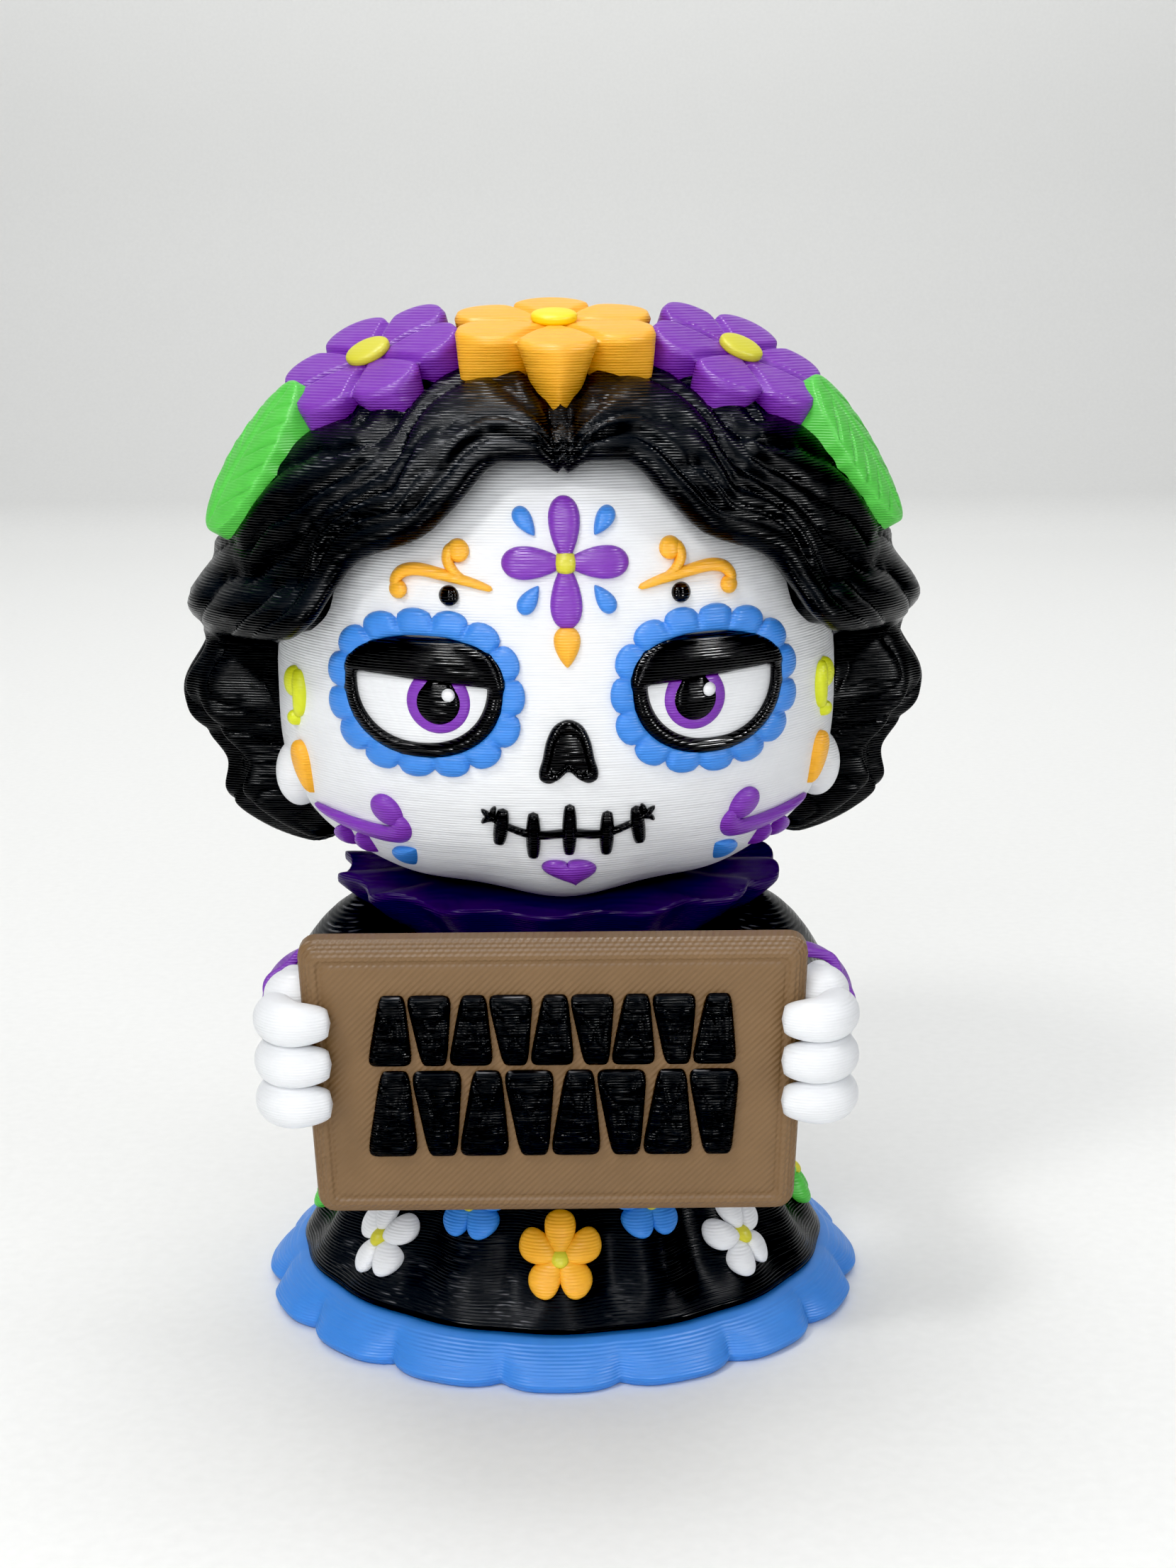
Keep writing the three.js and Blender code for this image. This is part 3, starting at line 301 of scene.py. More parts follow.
def plastic(name, colour, rough, lines, glow=0.0, mottle=0.04, shine=0.34, painted_glints=0.0, slanted=False):
    """Printed plastic: level layer lines in its normals, a little uneven in gloss and colour, and if asked
    painted sheen and painted glints in its colour.
    """
    mat, tree, shader, coord, (x, _, z) = new_material(name)
    new, link = tree.nodes.new, tree.links.new
    base = linear(colour)
    cloud = noise(tree, coord, CLOUDS, 3)
    soft = ramp(tree, cloud.socket, [
        (0.3, tuple(c * (1 - mottle) for c in base)),
        (0.7, tuple(min(1, c * (1 + mottle)) for c in base)),
    ])
    # Layers differ a little from one to the next, and are streaky along their length
    streaks = noise(tree, coord, STREAKS, 2)
    dashes = noise(tree, coord, DASHES, 1)

    normal = new("ShaderNodeNewGeometry").outputs["Normal"]
    phase = (z * (2 * PI / LAYER)).sin()
    if painted_glints:
        # Painted sheen on crests that face the light, and painted glints: short bright dashes where layers
        # catch the light on those crests
        lit = Num(tree, vector(tree, "DOT_PRODUCT", normal, PAINTED_LIGHT_SIDE))
        dash = dashes.rise(0.5, 0.7) * phase.rise(-0.1, 0.8)
        dash = dash * lit.rise(0.86, 0.99) * cloud.rise(0.4, 0.6)
        for share, tone in ((lit.rise(0.6, 1.0), PAINTED_SHEEN), (dash * painted_glints, PAINTED_GLINT)):
            mix = new("ShaderNodeMix")
            mix.data_type = "RGBA"
            link(share.socket, mix.inputs[0])
            link(soft, mix.inputs[6])
            mix.inputs[7].default_value = (*tone, 1)
            soft = mix.outputs[2]
    link(soft, shader.inputs["Base Color"])
    gloss = (streaks - 0.5) * UNEVEN_GLOSS + rough
    link(gloss.socket, shader.inputs["Roughness"])
    for name_, value in {
        "IOR": INDEX_OF_REFRACTION,
        "Specular IOR Level": shine,
        "Subsurface Weight": glow,
        "Subsurface Scale": GLOW_DEPTH,
        "Subsurface Radius": tuple(0.3 + 0.7 * c for c in base),
    }.items():
        shader.inputs[name_].default_value = value

    # The lines tilt the surface up and down its own slope
    if slanted:
        wave = ((z - x) * (2 * PI / SIGN_LINE * sqrt(0.5))).sin() * lines + (streaks - 0.5) * 0.1
        slope = (-0.7, 0.0, 0.7)
    else:
        uneven = lines * STREAKY
        wave = phase * lines + (streaks - 0.5) * uneven + (dashes - 0.5) * uneven
        level = vector(tree, "DOT_PRODUCT", normal, (0, 0, 1))
        slope = vector(tree, "SUBTRACT", (0, 0, 1), vector(tree, "SCALE", normal, level))
        slope = vector(tree, "SCALE", slope, LINE_TILT)
    shift = vector(tree, "SCALE", slope, wave.socket)
    link(vector(tree, "NORMALIZE", vector(tree, "ADD", normal, shift)), shader.inputs["Normal"])
    return mat


WHITE = plastic("white_plastic", (236, 238, 241), 0.42, 0.26, glow=0.1, mottle=0.02)
# Black plastic carries painted sheen and painted glints on crests that face the light
BLACK = plastic("black_plastic", (4, 5, 7), 0.27, 0.5, mottle=0.2, shine=0.13, painted_glints=0.8)
LID_BLACK = plastic("lid_black_plastic", (4, 4, 6), 0.18, 0.34, mottle=0.2, shine=0.22)
ORANGE = plastic("orange_plastic", (254, 182, 56), 0.42, 0.3, glow=0.15)
YELLOW = plastic("yellow_plastic", (214, 208, 62), 0.42, 0.12, glow=0.1)
LIME = plastic("lime_plastic", (214, 222, 48), 0.42, 0.12, glow=0.1)
GOLD = plastic("gold_plastic", (255, 224, 40), 0.42, 0.1, glow=0.1)
PURPLE = plastic("purple_plastic", (130, 60, 182), 0.36, 0.4, glow=0.06)
# Dark purple plastic for the collar, darkened further as painted shade under the head
PLUM_AND_SHADE = plastic("plum_plastic", (40, 10, 88), 0.38, 0.4, glow=0.05, shine=0.2)
GREEN = plastic("green_plastic", (92, 204, 80), 0.4, 0.3, glow=0.12)
BLUE = plastic("blue_plastic", (68, 140, 228), 0.42, 0.32, glow=0.12)
BROWN = plastic("brown_plastic", (126, 99, 69), 0.42, 0.3, mottle=0.05, slanted=True)


# The head


def head_radius(z, margin=0.0):
    upper = z >= HEAD_Z
    power = CRANIUM_POWER if upper else JAW_POWER
    share = min(1, abs(z - HEAD_Z) / ((CRANIUM if upper else JAW) + margin))
    return (HEAD_HALF + margin) * max(0, 1 - share**power) ** (1 / power)


def chin_at(x, z):
    """The chin, and a fuller place of the jaw on either side of it."""
    return (bell(x, 5.2) + 0.45 * bell(abs(x) - 11.5, 3.6)) * bell(z - CHIN_Z, 3.2)


def on_face(x, z, margin):
    """A place over the skin of the head for a place seen from the front."""
    source = z
    for _ in range(3):
        source = z + CHIN_DOWN * chin_at(x, source)
    r = head_radius(source, margin)
    y = -HEAD_DEPTH * sqrt(max(0.01, r * r - x * x))
    return Vector((x, y - CHIN_OUT * chin_at(x, source), z))


def on_azimuth(azimuth):
    """A rule that does the same for a place seen from an azimuth, in degrees."""

    def rule(u, z, margin):
        r = head_radius(z, margin)
        phi = radians(azimuth) + u / max(8, head_radius(z)) * 1.03
        return Vector((sin(phi) * r, -cos(phi) * r * HEAD_DEPTH, z))

    return rule


def head_rule(t, a):
    sine = cos(t * PI)
    upper = sine >= 0
    power = CRANIUM_POWER if upper else JAW_POWER
    z = HEAD_Z + (CRANIUM if upper else JAW) * rounded(sine, power)
    r = HEAD_HALF * rounded(sin(t * PI), power)
    x, y = cos(a) * r, sin(a) * r
    chin = chin_at(x, z) * max(0, -sin(a))
    return Vector((x, y * HEAD_DEPTH - chin * CHIN_OUT, z - chin * CHIN_DOWN))


def ball(centre, radii, side):
    def rule(t, a):
        s = sin(t * PI)
        p = Vector((cos(a) * s * radii[0], sin(a) * s * radii[1], cos(t * PI) * radii[2]))
        return p + Vector((side * centre[0], *centre[1:]))

    return rule


def neck_rule(t, a):
    r = NECK_HALF * rounded(sin(t * PI), NECK_POWER)
    return Vector((r * cos(a), r * sin(a), NECK_Z + NECK_TALL * rounded(cos(t * PI), NECK_POWER)))


ears = [skin(32, 24, ball(EAR, EAR_RADII, side)) for _, side in SIDES]
piece("skull_head", [skin(112, 84, head_rule), *ears, skin(48, 12, neck_rule)], WHITE)


# Raised figures on the face


def pillow(outline, at=on_face, lift=RELIEF, around=40, rows=16, edge=2.4, height=None):
    """A raised pad: outline(a) is its edge, outline(None) its middle, and edge how round its shoulder is."""
    mid = Vector(outline(None))
    edges = {}

    def rule(t, a):
        s = sin(t * PI)
        key = round(a * 1e4)
        if key not in edges:
            edges[key] = Vector(outline(a))
        place = mid.lerp(edges[key], s)
        if t <= 0.5:
            h = lift * (max(0, 1 - s**edge) ** (1 / edge))
            if height:
                h += height(place, s)
        else:
            h = FOOT
        return at(place.x, place.y, h)

    return skin(around, rows, rule)


def disc(x, z, rx, rz=None):
    rz = rz or rx
    return lambda a: (x, z) if a is None else (x + rx * cos(a), z + rz * sin(a))


def drop(x, z, length, width, turn):
    """A drop: its point lies at turn degrees from straight up, clockwise."""
    c, s = cos(radians(turn)), sin(radians(turn))

    def outline(a):
        if a is None:
            u, v = 0.0, -length * 0.12
        else:
            b = a + PI / 2
            u = -width / 2 * sin(b) * (0.25 + 0.75 * abs(sin(b / 2)) ** 1.3) * 1.12
            v = length / 2 * cos(b)
        return (x + u * c + v * s, z + v * c - u * s)

    return outline


def petal(z, reach, half, turn):
    c, s = cos(radians(turn)), sin(radians(turn))

    def outline(a):
        along = reach * 0.58 if a is None else reach / 2 * (1 - cos(a)) + 0.1
        side = 0 if a is None else half * sin(a) * (0.5 + 0.5 * along / reach) * 1.15
        return (along * c - side * s, z + along * s + side * c)

    return outline


def stroke(points, width, at=on_face, lift=RELIEF, rows=26, power=4.5):
    """A raised line along points; width is one number or the two at its ends."""
    w0, w1 = width if isinstance(width, tuple) else (width, width)

    def rule(t, a):
        place, way = curve(points, t)
        body = rounded(sin(t * PI), power)
        half = lerp(w0, w1, t) / 2 * body
        off = cos(a) * half
        rise = sin(a)
        h = lift * body * rounded(rise, 2.8) if rise > 0 else FOOT * abs(rise)
        return at(place.x - way.y * off, place.y + way.x * off, h)

    return skin(14, rows, rule)


def mirrored(points, side):
    return [(x * side, z) for x, z in points]


FLOWER_Z, FLOWER_REACH, FLOWER_HALF = 60.7, 4.45, 1.25
FOREHEAD_DROPS = [(-2.8, 63.5, 145), (2.8, 63.5, 215), (-2.6, 58.2, 395), (2.7, 58.2, 325)]

petals = [pillow(petal(FLOWER_Z, FLOWER_REACH, FLOWER_HALF, turn), edge=2.6) for turn in (0, 90, 180, 270)]
piece("forehead_flower", petals, PURPLE)
piece("forehead_flower_centre", [pillow(disc(0, FLOWER_Z, 0.85), lift=0.95, edge=2.2)], YELLOW)
for i, (x, z, turn) in enumerate(FOREHEAD_DROPS):
    piece(f"forehead_drop_{i + 1}", [pillow(drop(x, z, 2.3, 1.5, turn))], BLUE)
piece("bridge_drop", [pillow(drop(0, 54.9, 2.9, 2.2, 180))], ORANGE)

NOSE_SIDE = [(1.86, 46.9), (1.58, 48.2), (1.0, 49.3)]
NOSE_FOOT = [(0, 45.95), (0.72, 45.4), (1.4, 45.1), (2.02, 45.35), (2.12, 46.0)]
NOSE_TOP, NOSE_MIDDLE = (0, 49.75), (0, 47.3)
NOSE = [*NOSE_SIDE, NOSE_TOP, *mirrored(NOSE_SIDE[::-1], -1), *mirrored(NOSE_FOOT[:0:-1], -1), *NOSE_FOOT]


def nose_edge(a):
    return NOSE_MIDDLE if a is None else closed_curve(NOSE, a)


def nose_height(_, s):
    """The nose is hollowed inside its rim."""
    return -0.45 * (1 - smooth(0.6, 0.8, s))


piece("nose", [pillow(nose_edge, around=72, rows=48, lift=0.85, edge=3.4, height=nose_height)], LID_BLACK)

MOUTH = [(-5.5, 42.6), (-4.8, 41.9), (-2.6, 41.1), (0, 41.2), (2.6, 41.1), (4.8, 41.9), (5.5, 42.6)]
# The ends of the mouth fork: points, width and height of each branch
FORKS = [
    ([(4.9, 41.95), (5.7, 42.5), (6.3, 43.05)], (0.62, 0.5), 0.6),
    ([(5.3, 42.2), (5.9, 42.25), (6.3, 41.9)], (0.5, 0.4), 0.55),
    ([(5.4, 42.4), (5.45, 42.9), (5.25, 43.3)], (0.5, 0.4), 0.55),
]
STITCHES = [((-4.7, 43.15), (-5.05, 40.15)), ((-2.55, 42.9), (-2.55, 39.1)), ((0.07, 43.5), (0.05, 39.4)),
            ((2.8, 42.9), (2.75, 39.3)), ((4.85, 43.15), (5.27, 40.05))]


def stitch(top, foot):
    middle = ((top[0] + foot[0]) / 2, (top[1] + foot[1]) / 2)
    return stroke([top, middle, foot], 1.08, rows=24, power=9)


forks = [stroke(mirrored(points, side), width, lift=lift, rows=14)
         for side in (-1, 1) for points, width, lift in FORKS]
stitches = [stitch(*ends) for ends in STITCHES]
piece("mouth_stitches", [stroke(MOUTH, 0.7, rows=50, lift=0.62), *forks, *stitches], LID_BLACK)


def heart(a):
    if a is None:
        return (0, 38.0)
    b = a - PI / 2
    x = 16 * sin(b) ** 3
    y = 13 * cos(b) - 3.5 * cos(2 * b) - 1.6 * cos(3 * b) - 0.6 * cos(4 * b)
    return (-x * 0.125 - 0.03 * (y - 5), 38.1 + y * 0.086)


piece("chin_heart", [pillow(heart, around=56, edge=2.6, lift=0.7)], PURPLE)

BROW = [(5.15, 58.85), (6.9, 59.4), (8.8, 59.85), (10.5, 60.15), (11.6, 59.95), (12.15, 59.3), (12.0, 58.6)]
BROW_FORK = [(6.7, 59.35), (7.8, 59.95), (8.35, 60.8), (8.2, 61.6), (7.7, 61.8)]
COMMA = [(0.3, 51.6), (-0.5, 51.3), (-0.85, 50.2), (-0.6, 49.0), (0.2, 48.4)]
CHEEK = [(-4.9, 42.4), (-5.5, 41.2), (-4.2, 40.3), (-1.5, 40.4), (2.2, 40.9), (5.4, 41.3)]


for label, side in SIDES:
    temple, cheek, jaw = (on_azimuth(side * azimuth) for azimuth in (65, 52, 39.5))
    brow_swirl = [
        stroke(mirrored(BROW, side), (0.8, 1.0), rows=52, power=8),
        stroke(mirrored(BROW_FORK, side), (0.7, 0.95)),
        pillow(disc(side * 7.6, 61.5, 0.82), around=28, rows=12),
        pillow(disc(side * 11.95, 58.7, 0.66), around=28, rows=12),
    ]
    comma = [
        stroke(mirrored(COMMA, side), (1.5, 1.2), temple, rows=36),
        pillow(disc(side * 0.5, 50.95, 1.15, 1.2), temple, around=28, rows=12),
        pillow(disc(side * 0.3, 48.2, 0.62), temple, around=24, rows=12),
    ]
    cheek_swirl = [
        stroke(mirrored(CHEEK, side), (1.7, 1.2), cheek, rows=44),
        pillow(disc(side * -4.6, 42.3, 1.3), cheek),
        pillow(drop(side * 2.4, 39.3, 3.2, 1.6, side * -50), cheek),
        pillow(drop(0, 39.1, 2.7, 1.4, side * -35), cheek),
    ]
    piece(f"brow_swirl_{label}", brow_swirl, ORANGE)
    piece(f"brow_dot_{label}", [pillow(disc(side * 8.3, 58.4, 0.72), edge=2)], LID_BLACK)
    piece(f"temple_comma_{label}", comma, LIME)
    piece(f"temple_drop_{label}", [pillow(drop(0, 44.4, 4.2, 2.6, 180), temple, edge=3.2)], ORANGE)
    piece(f"cheek_swirl_{label}", cheek_swirl, PURPLE)
    piece(f"cheek_drop_{label}", [pillow(drop(0, 38.5, 3, 2, side * -62), jaw)], BLUE)


# Eyes


def lid_height(x):
    (x0, z0), (x1, z1) = LID
    return lerp(z0, z1, (x - x0) / (x1 - x0))


def eye_ray(a, half, top, bottom, middle, high, low):
    """The edge of a rounded eye outline in the direction a from the middle of the eye."""
    c, s = cos(a), sin(a)
    lo, hi = 0.0, 9.0
    for _ in range(24):
        r = (lo + hi) / 2
        dx, dz = EYE_MID[0] + c * r - middle[0], EYE_MID[1] + s * r - middle[1]
        power, tall = (high, top) if dz > 0 else (low, bottom)
        inside = abs(dx / half) ** power + abs(dz / tall) ** power < 1
        lo, hi = (r, hi) if inside else (lo, r)
    return lo


@lru_cache(maxsize=None)
def eye_reach(a):
    """Outer and inner edge of the black frame of an eye in a direction."""
    inner = eye_ray(a, *EYE_INNER)
    slope = (LID[1][1] - LID[0][1]) / (LID[1][0] - LID[0][0])
    gap = sin(a) - slope * cos(a)
    if gap > 0.02:
        inner = min(inner, (lid_height(EYE_MID[0]) - EYE_MID[1]) / gap)
    return eye_ray(a, *EYE_OUTER), inner


def eye_frame(side):
    def rule(a, s):
        across = (1 - cos(s)) / 2
        outer, inner = eye_reach(round(a, 4))
        r = lerp(outer + 0.08, inner - 0.08, across)
        x, z = EYE_MID[0] + r * cos(a), EYE_MID[1] + r * sin(a)
        lid = smooth(-0.25, 0.35, z - lid_height(x) + 0.1)
        rise = sin(s)
        h = lerp(0.95, 1.25, lid) * rounded(rise, lerp(2.4, 4.2, lid)) if rise > 0 else FOOT
        return on_face(side * x, z, h)

    return ring(144, 28, rule)


def eye_ring_edge(a, grow=0.0):
    x, z, half, tall, power = EYE_RING
    return x + (half + grow) * rounded(cos(a), power), z + (tall + grow) * rounded(sin(a), power)


# How far along its edge each step of an eye ring lies, so that its lobes are equally long
RUN = [0.0]
RUN_STEPS = 720
steps = [eye_ring_edge(2 * PI * i / RUN_STEPS) for i in range(RUN_STEPS + 1)]
for here, there in zip(steps, steps[1:]):
    RUN.append(RUN[-1] + dist(here, there))


def eye_ring(side):
    """One band with a scalloped edge: each lobe is a low pillow, with a crease to the next one."""

    def rule(a, s):
        run = RUN[int((a / (2 * PI) % 1) * RUN_STEPS)] / RUN[-1]
        part = abs((run * LOBES) % 1 - 0.5) * 2
        scallop = sqrt(max(0, 1 - part * part))
        across = (1 - cos(s)) / 2
        grow = lerp(-0.62 + 0.82 * scallop, -1.75, across)
        x, z = eye_ring_edge(a, grow)
        rise = sin(s)
        crease = 0.42 * bell(1 - part, 0.24) * (1 - across) ** 0.5
        h = (0.82 - crease) * rounded(rise, 3.2) if rise > 0 else FOOT
        return on_face(side * x, z, h)

    return ring(300, 20, rule)


def eye_white(side):
    """The white of an eye, and its highlight over the pupil."""

    def edge(a):
        if a is None:
            return (side * EYE_MID[0], EYE_MID[1])
        r = eye_reach(round(a, 4))[1] + 0.25
        return (side * (EYE_MID[0] + r * cos(a)), EYE_MID[1] + r * sin(a))

    highlight = pillow(disc(side * 9.35 + 0.85, 51.5, 0.56), lift=1.2, edge=3, around=28, rows=14)
    return [pillow(edge, around=72, lift=0.42, edge=6), highlight]


def under_lid(side, radius):
    """A disc that the lid cuts off at its top."""
    x, z = IRIS_MID

    def edge(a):
        if a is None:
            return (side * x, z - radius * 0.25)
        u, v = x + radius * cos(a), z + radius * sin(a)
        return (side * u, min(v, lid_height(u) + 0.2))

    return edge


for label, side in SIDES:
    piece(f"eye_ring_{label}", [eye_ring(side)], BLUE)
    piece(f"eye_frame_{label}", [eye_frame(side)], LID_BLACK)
    piece(f"eye_white_{label}", eye_white(side), WHITE)
    piece(f"iris_{label}", [pillow(under_lid(side, IRIS_HALF), around=64, lift=0.72, edge=4)], PURPLE)
    piece(f"pupil_{label}", [pillow(under_lid(side, PUPIL_HALF), around=48, lift=0.98, edge=3)], LID_BLACK)


# Hair


def step(lo, hi, v):
    """The same as smooth, for arrays."""
    t = np.clip((v - lo) / (hi - lo), 0, 1)
    return t * t * (3 - 2 * t)


def hump(v, width):
    """The same as bell, for arrays."""
    return np.exp(-((v / width) ** 2))


def wave_at(z):
    """How far the waves of the hair stand out at a height."""
    out = np.where(z > WAVES[0][0], WAVES[0][1], float(WAVES[-1][1]))
    for (high, first), (low, second) in zip(WAVES, WAVES[1:]):
        here = (z <= high) & (z > low)
        out = np.where(here, second + (first - second) * step(low, high, z), out)
    return out


def hair_points(d, ripple=0.0):
    """Directions from the middle of the hair as places on it."""
    upper = d[:, 2] >= 0
    power = np.where(upper, HAIR_TOP_POWER, HAIR_BOTTOM_POWER)
    height = np.where(upper, HAIR_TOP, HAIR_BOTTOM) * d[:, 2]
    level = np.maximum(np.hypot(d[:, 0], d[:, 1]), 1e-9)
    x, y = d[:, 0] / level, d[:, 1] / level
    share = np.maximum(0, 1 - np.abs(d[:, 2]) ** power) ** (1 / power)
    z = HAIR_Z + height
    brow = step(FORELOCK_END - FORELOCK_EDGE, FORELOCK_END + FORELOCK_EDGE, z + ripple)
    depth = np.where(y < 0, HAIR_FRONT_LOW + (HAIR_FRONT - HAIR_FRONT_LOW) * brow, HAIR_BACK)
    lock = 0.5 - 0.5 * np.cos(np.arctan2(y, x) * LOCK_COUNT)
    lift = wave_at(z - np.maximum(0, y) * WAVE_LAG) - LOCK_DEPTH * lock * (1 - step(46, 56, z))
    out = 1 + lift / HAIR_HALF
    wide, deep = x * share * HAIR_HALF * out, y * share * depth * out
    return np.stack([wide, deep + HAIR_Y, height * out + HAIR_Z], 1)


def smooth_line(points, count):
    return np.array([curve([(*p, 0) for p in points], i / count)[0][:2] for i in range(count + 1)])


LINE = smooth_line(HAIRLINE, 60)
LINE[:, 1] = np.minimum(LINE[:, 1], HAIRLINE[0][1])


def hairline_width(z):
    """Half width of the face opening at a height."""
    order = np.argsort(LINE[:, 1], kind="stable")
    width = np.interp(z, LINE[order, 1], LINE[order, 0])
    return np.where(z > HAIRLINE[0][1], -1, width)


def way_of(theta, phi):
    """Directions at an angle theta round the line of sight and phi away from it."""
    return np.stack([np.sin(phi) * np.cos(theta), -np.cos(phi), np.sin(phi) * np.sin(theta)], 1)


def far_from(points, x, z):
    """Distance to a line seen from the front, and how far along it the nearest place lies."""
    best = np.full(x.shape, 1e9)
    along = np.zeros(x.shape)
    run = 0.0
    for (x0, z0), (x1, z1) in zip(points, points[1:]):
        dx, dz = x1 - x0, z1 - z0
        long = hypot(dx, dz)
        if long < 1e-6:
            continue
        t = np.clip(((x - x0) * dx + (z - z0) * dz) / long**2, 0, 1)
        away = np.hypot(x - x0 - dx * t, z - z0 - dz * t)
        near = away < best
        best = np.where(near, away, best)
        along = np.where(near, run + t * long, along)
        run += long
    return best, along


# Steps round the hair and from its inside to its back, and the hidden ones
AROUND, ROWS, HIDDEN = 336, 230, 14
ROLL, SIDE_ROLL = 2.2, 0.25
STRAND, SIDE_STRAND, COMB_POWER = 1.5, 4.8, 0.6
RIPPLE, RIPPLE_PITCH = 0.5, 1.7
# Shares of the hidden rows at which the inner wall turns
INNER_TURN, OUTER_TURN = 0.4, 0.7


def rim_table():
    """How far the face opening reaches in each direction round it."""
    theta = np.arange(AROUND) * 2 * PI / AROUND
    lo, hi = np.full(AROUND, 0.02), np.full(AROUND, PI * 0.62)
    for _ in range(30):
        mid = (lo + hi) / 2
        p = hair_points(way_of(theta, mid))
        inside = (p[:, 1] < -1.5) & (np.abs(p[:, 0]) < hairline_width(p[:, 2]))
        lo, hi = np.where(inside, mid, lo), np.where(inside, hi, mid)
    return hi


def combed(p):
    """Height of the combed strands: along the hairline in front, downward over the sides and the back."""
    x, y, z = np.abs(p[:, 0]), p[:, 1], p[:, 2]
    to_line, along = far_from(LINE, x, z)
    # The strands follow the hairline, and dip into the parting
    gap = to_line + 2.6 * hump(x, 2.6) * step(0, 3, to_line)
    turn = (gap - 2.5) / STRAND + 0.5 * np.sin(along * 0.31 + gap * 0.4)
    turn += 0.22 * np.sin(along * 0.83 + gap * 1.1)
    fade = 0.72 + 0.28 * np.sin(along * 0.42 + turn * 2.1)
    fine = (np.abs(np.sin(turn * PI)) ** COMB_POWER - 1) * 0.75 * fade
    broad = 0.34 * np.sin(turn * 1.5 + along * 0.12)
    front = (fine + broad) * step(1.7, 2.8, gap) - 0.3 * hump(gap - 2.3, 0.35)
    flat = np.degrees(np.arctan2(x, HAIR_Y - y)) - 90
    sway = 0.9 * np.sin(z * 0.55 + np.radians(flat) * 2)
    turn = flat / SIDE_STRAND - (2.4 * step(48, 56, z) + sway * (1 - 0.4 * step(55, 65, z)))
    fade = 0.72 + 0.28 * np.sin(turn * 2.3 + z * 0.35)
    fine = (np.abs(np.sin(turn * PI)) ** COMB_POWER - 1) * 0.7 * fade
    crown = 1 - hump(np.hypot(p[:, 0], y - HAIR_Y), 6) * (z > 60)
    sides = (fine + 0.3 * np.sin(turn * 1.1 + z * 0.2) - 0.2) * crown
    in_front = (1 - step(-1, 6, y)) * step(FORELOCK_END - 1, FORELOCK_END + 0.6, z)
    return front * in_front + sides * (1 - in_front)


def hair_rule(t, a):
    """Places of the hair for shares t from its hidden middle over its rim to the back, and angles a."""
    index = np.round(a / (2 * PI) * AROUND).astype(int) % AROUND
    theta = index * 2 * PI / AROUND
    rim = rim_table()[index]
    edge = hair_points(way_of(theta, rim))
    j = t * ROWS
    u = np.clip((j - HIDDEN) / (ROWS - HIDDEN), 0, 1)
    phi = rim + (PI - rim) * (0.3 * u + 0.7 * u * u * (1.6 - 0.6 * u))
    d = way_of(theta, phi)
    upward = step(0.6, 0.2, np.abs(theta % PI - PI / 2))
    ripple = RIPPLE * np.abs(np.sin(np.abs(hair_points(d)[:, 0]) * PI / RIPPLE_PITCH))
    p = hair_points(d, ripple * upward)
    away = np.linalg.norm(p - edge, axis=1)
    roll = np.where(edge[:, 1] < -6, ROLL, SIDE_ROLL)
    inset = roll * (1 - np.sqrt(np.maximum(0, 1 - (1 - np.minimum(1, away / roll)) ** 2)))
    high = step(60, 63, p[:, 2])
    groove = hump(p[:, 0], 1.1) * high * np.where(p[:, 1] < 0, 1.7, 0.6) * (1 - step(2, 10, p[:, 1]))
    seam = hump(p[:, 0], 0.3) * high * (p[:, 1] < -8)
    out = p - np.array([0, HAIR_Y, 48])
    out /= np.linalg.norm(out, axis=1)[:, None]
    shaped = p + out * (combed(p) * step(0, 1.5, away) - groove + seam)[:, None]
    shaped[:, 1] += inset
    # Under the jaw the ends of the hair are shorter
    x, y, z = np.abs(shaped[:, 0]), shaped[:, 1], shaped[:, 2]
    shaped[:, 2] += 2.0 * step(20, 15, x) * step(41, 36.5, z) * (1 - step(4, 12, y))

    # The hidden wall behind the rim
    edge[:, 1] += roll
    start = np.array([[0.0, 8.0, HEAD_Z]])
    back = np.stack([edge[:, 0] * 0.72, edge[:, 1] + 5.5, HEAD_Z + (edge[:, 2] - HEAD_Z) * 0.8], 1)
    wall = edge.copy()
    wall[:, 1] += np.where(edge[:, 1] < -6, 3.5, 0.8)
    hidden = (j / HIDDEN)[:, None]
    leg = OUTER_TURN - INNER_TURN
    inner = start + (back - start) * np.clip(hidden / INNER_TURN, 0, 1)
    onward = back + (wall - back) * np.clip((hidden - INNER_TURN) / leg, 0, 1)
    inner = np.where(hidden > INNER_TURN, onward, inner)
    onward = wall + (edge - wall) * np.clip((hidden - OUTER_TURN) / (1 - OUTER_TURN), 0, 1)
    inner = np.where(hidden > OUTER_TURN, onward, inner)
    return np.where(hidden < 1, inner, shaped)


def build_hair(bm):
    made = bmesh.ops.create_uvsphere(bm, u_segments=AROUND, v_segments=ROWS, radius=1)["verts"]
    at = np.array([v.co for v in made])
    places = hair_rule(np.arccos(np.clip(at[:, 2], -1, 1)) / PI, np.arctan2(at[:, 1], at[:, 0]))
    for v, place in zip(made, places):
        v.co = place


piece("hair", [build_hair], BLACK)


# Crown of flowers


def facing(at, normal, side=1, turn=0.0):
    """A rule that stands a flat form at a place, with its face along normal."""
    aim = Vector((side * normal[0], normal[1], normal[2])).normalized()
    across = Vector((0, 1, 0)).cross(aim).normalized()
    up = aim.cross(across)
    basis = Matrix((across, up, aim)).transposed()
    spin = Matrix.Rotation(radians(side * turn), 3, "Z")
    origin = Vector((side * at[0], at[1], at[2]))
    return lambda p: basis @ (spin @ p) + origin


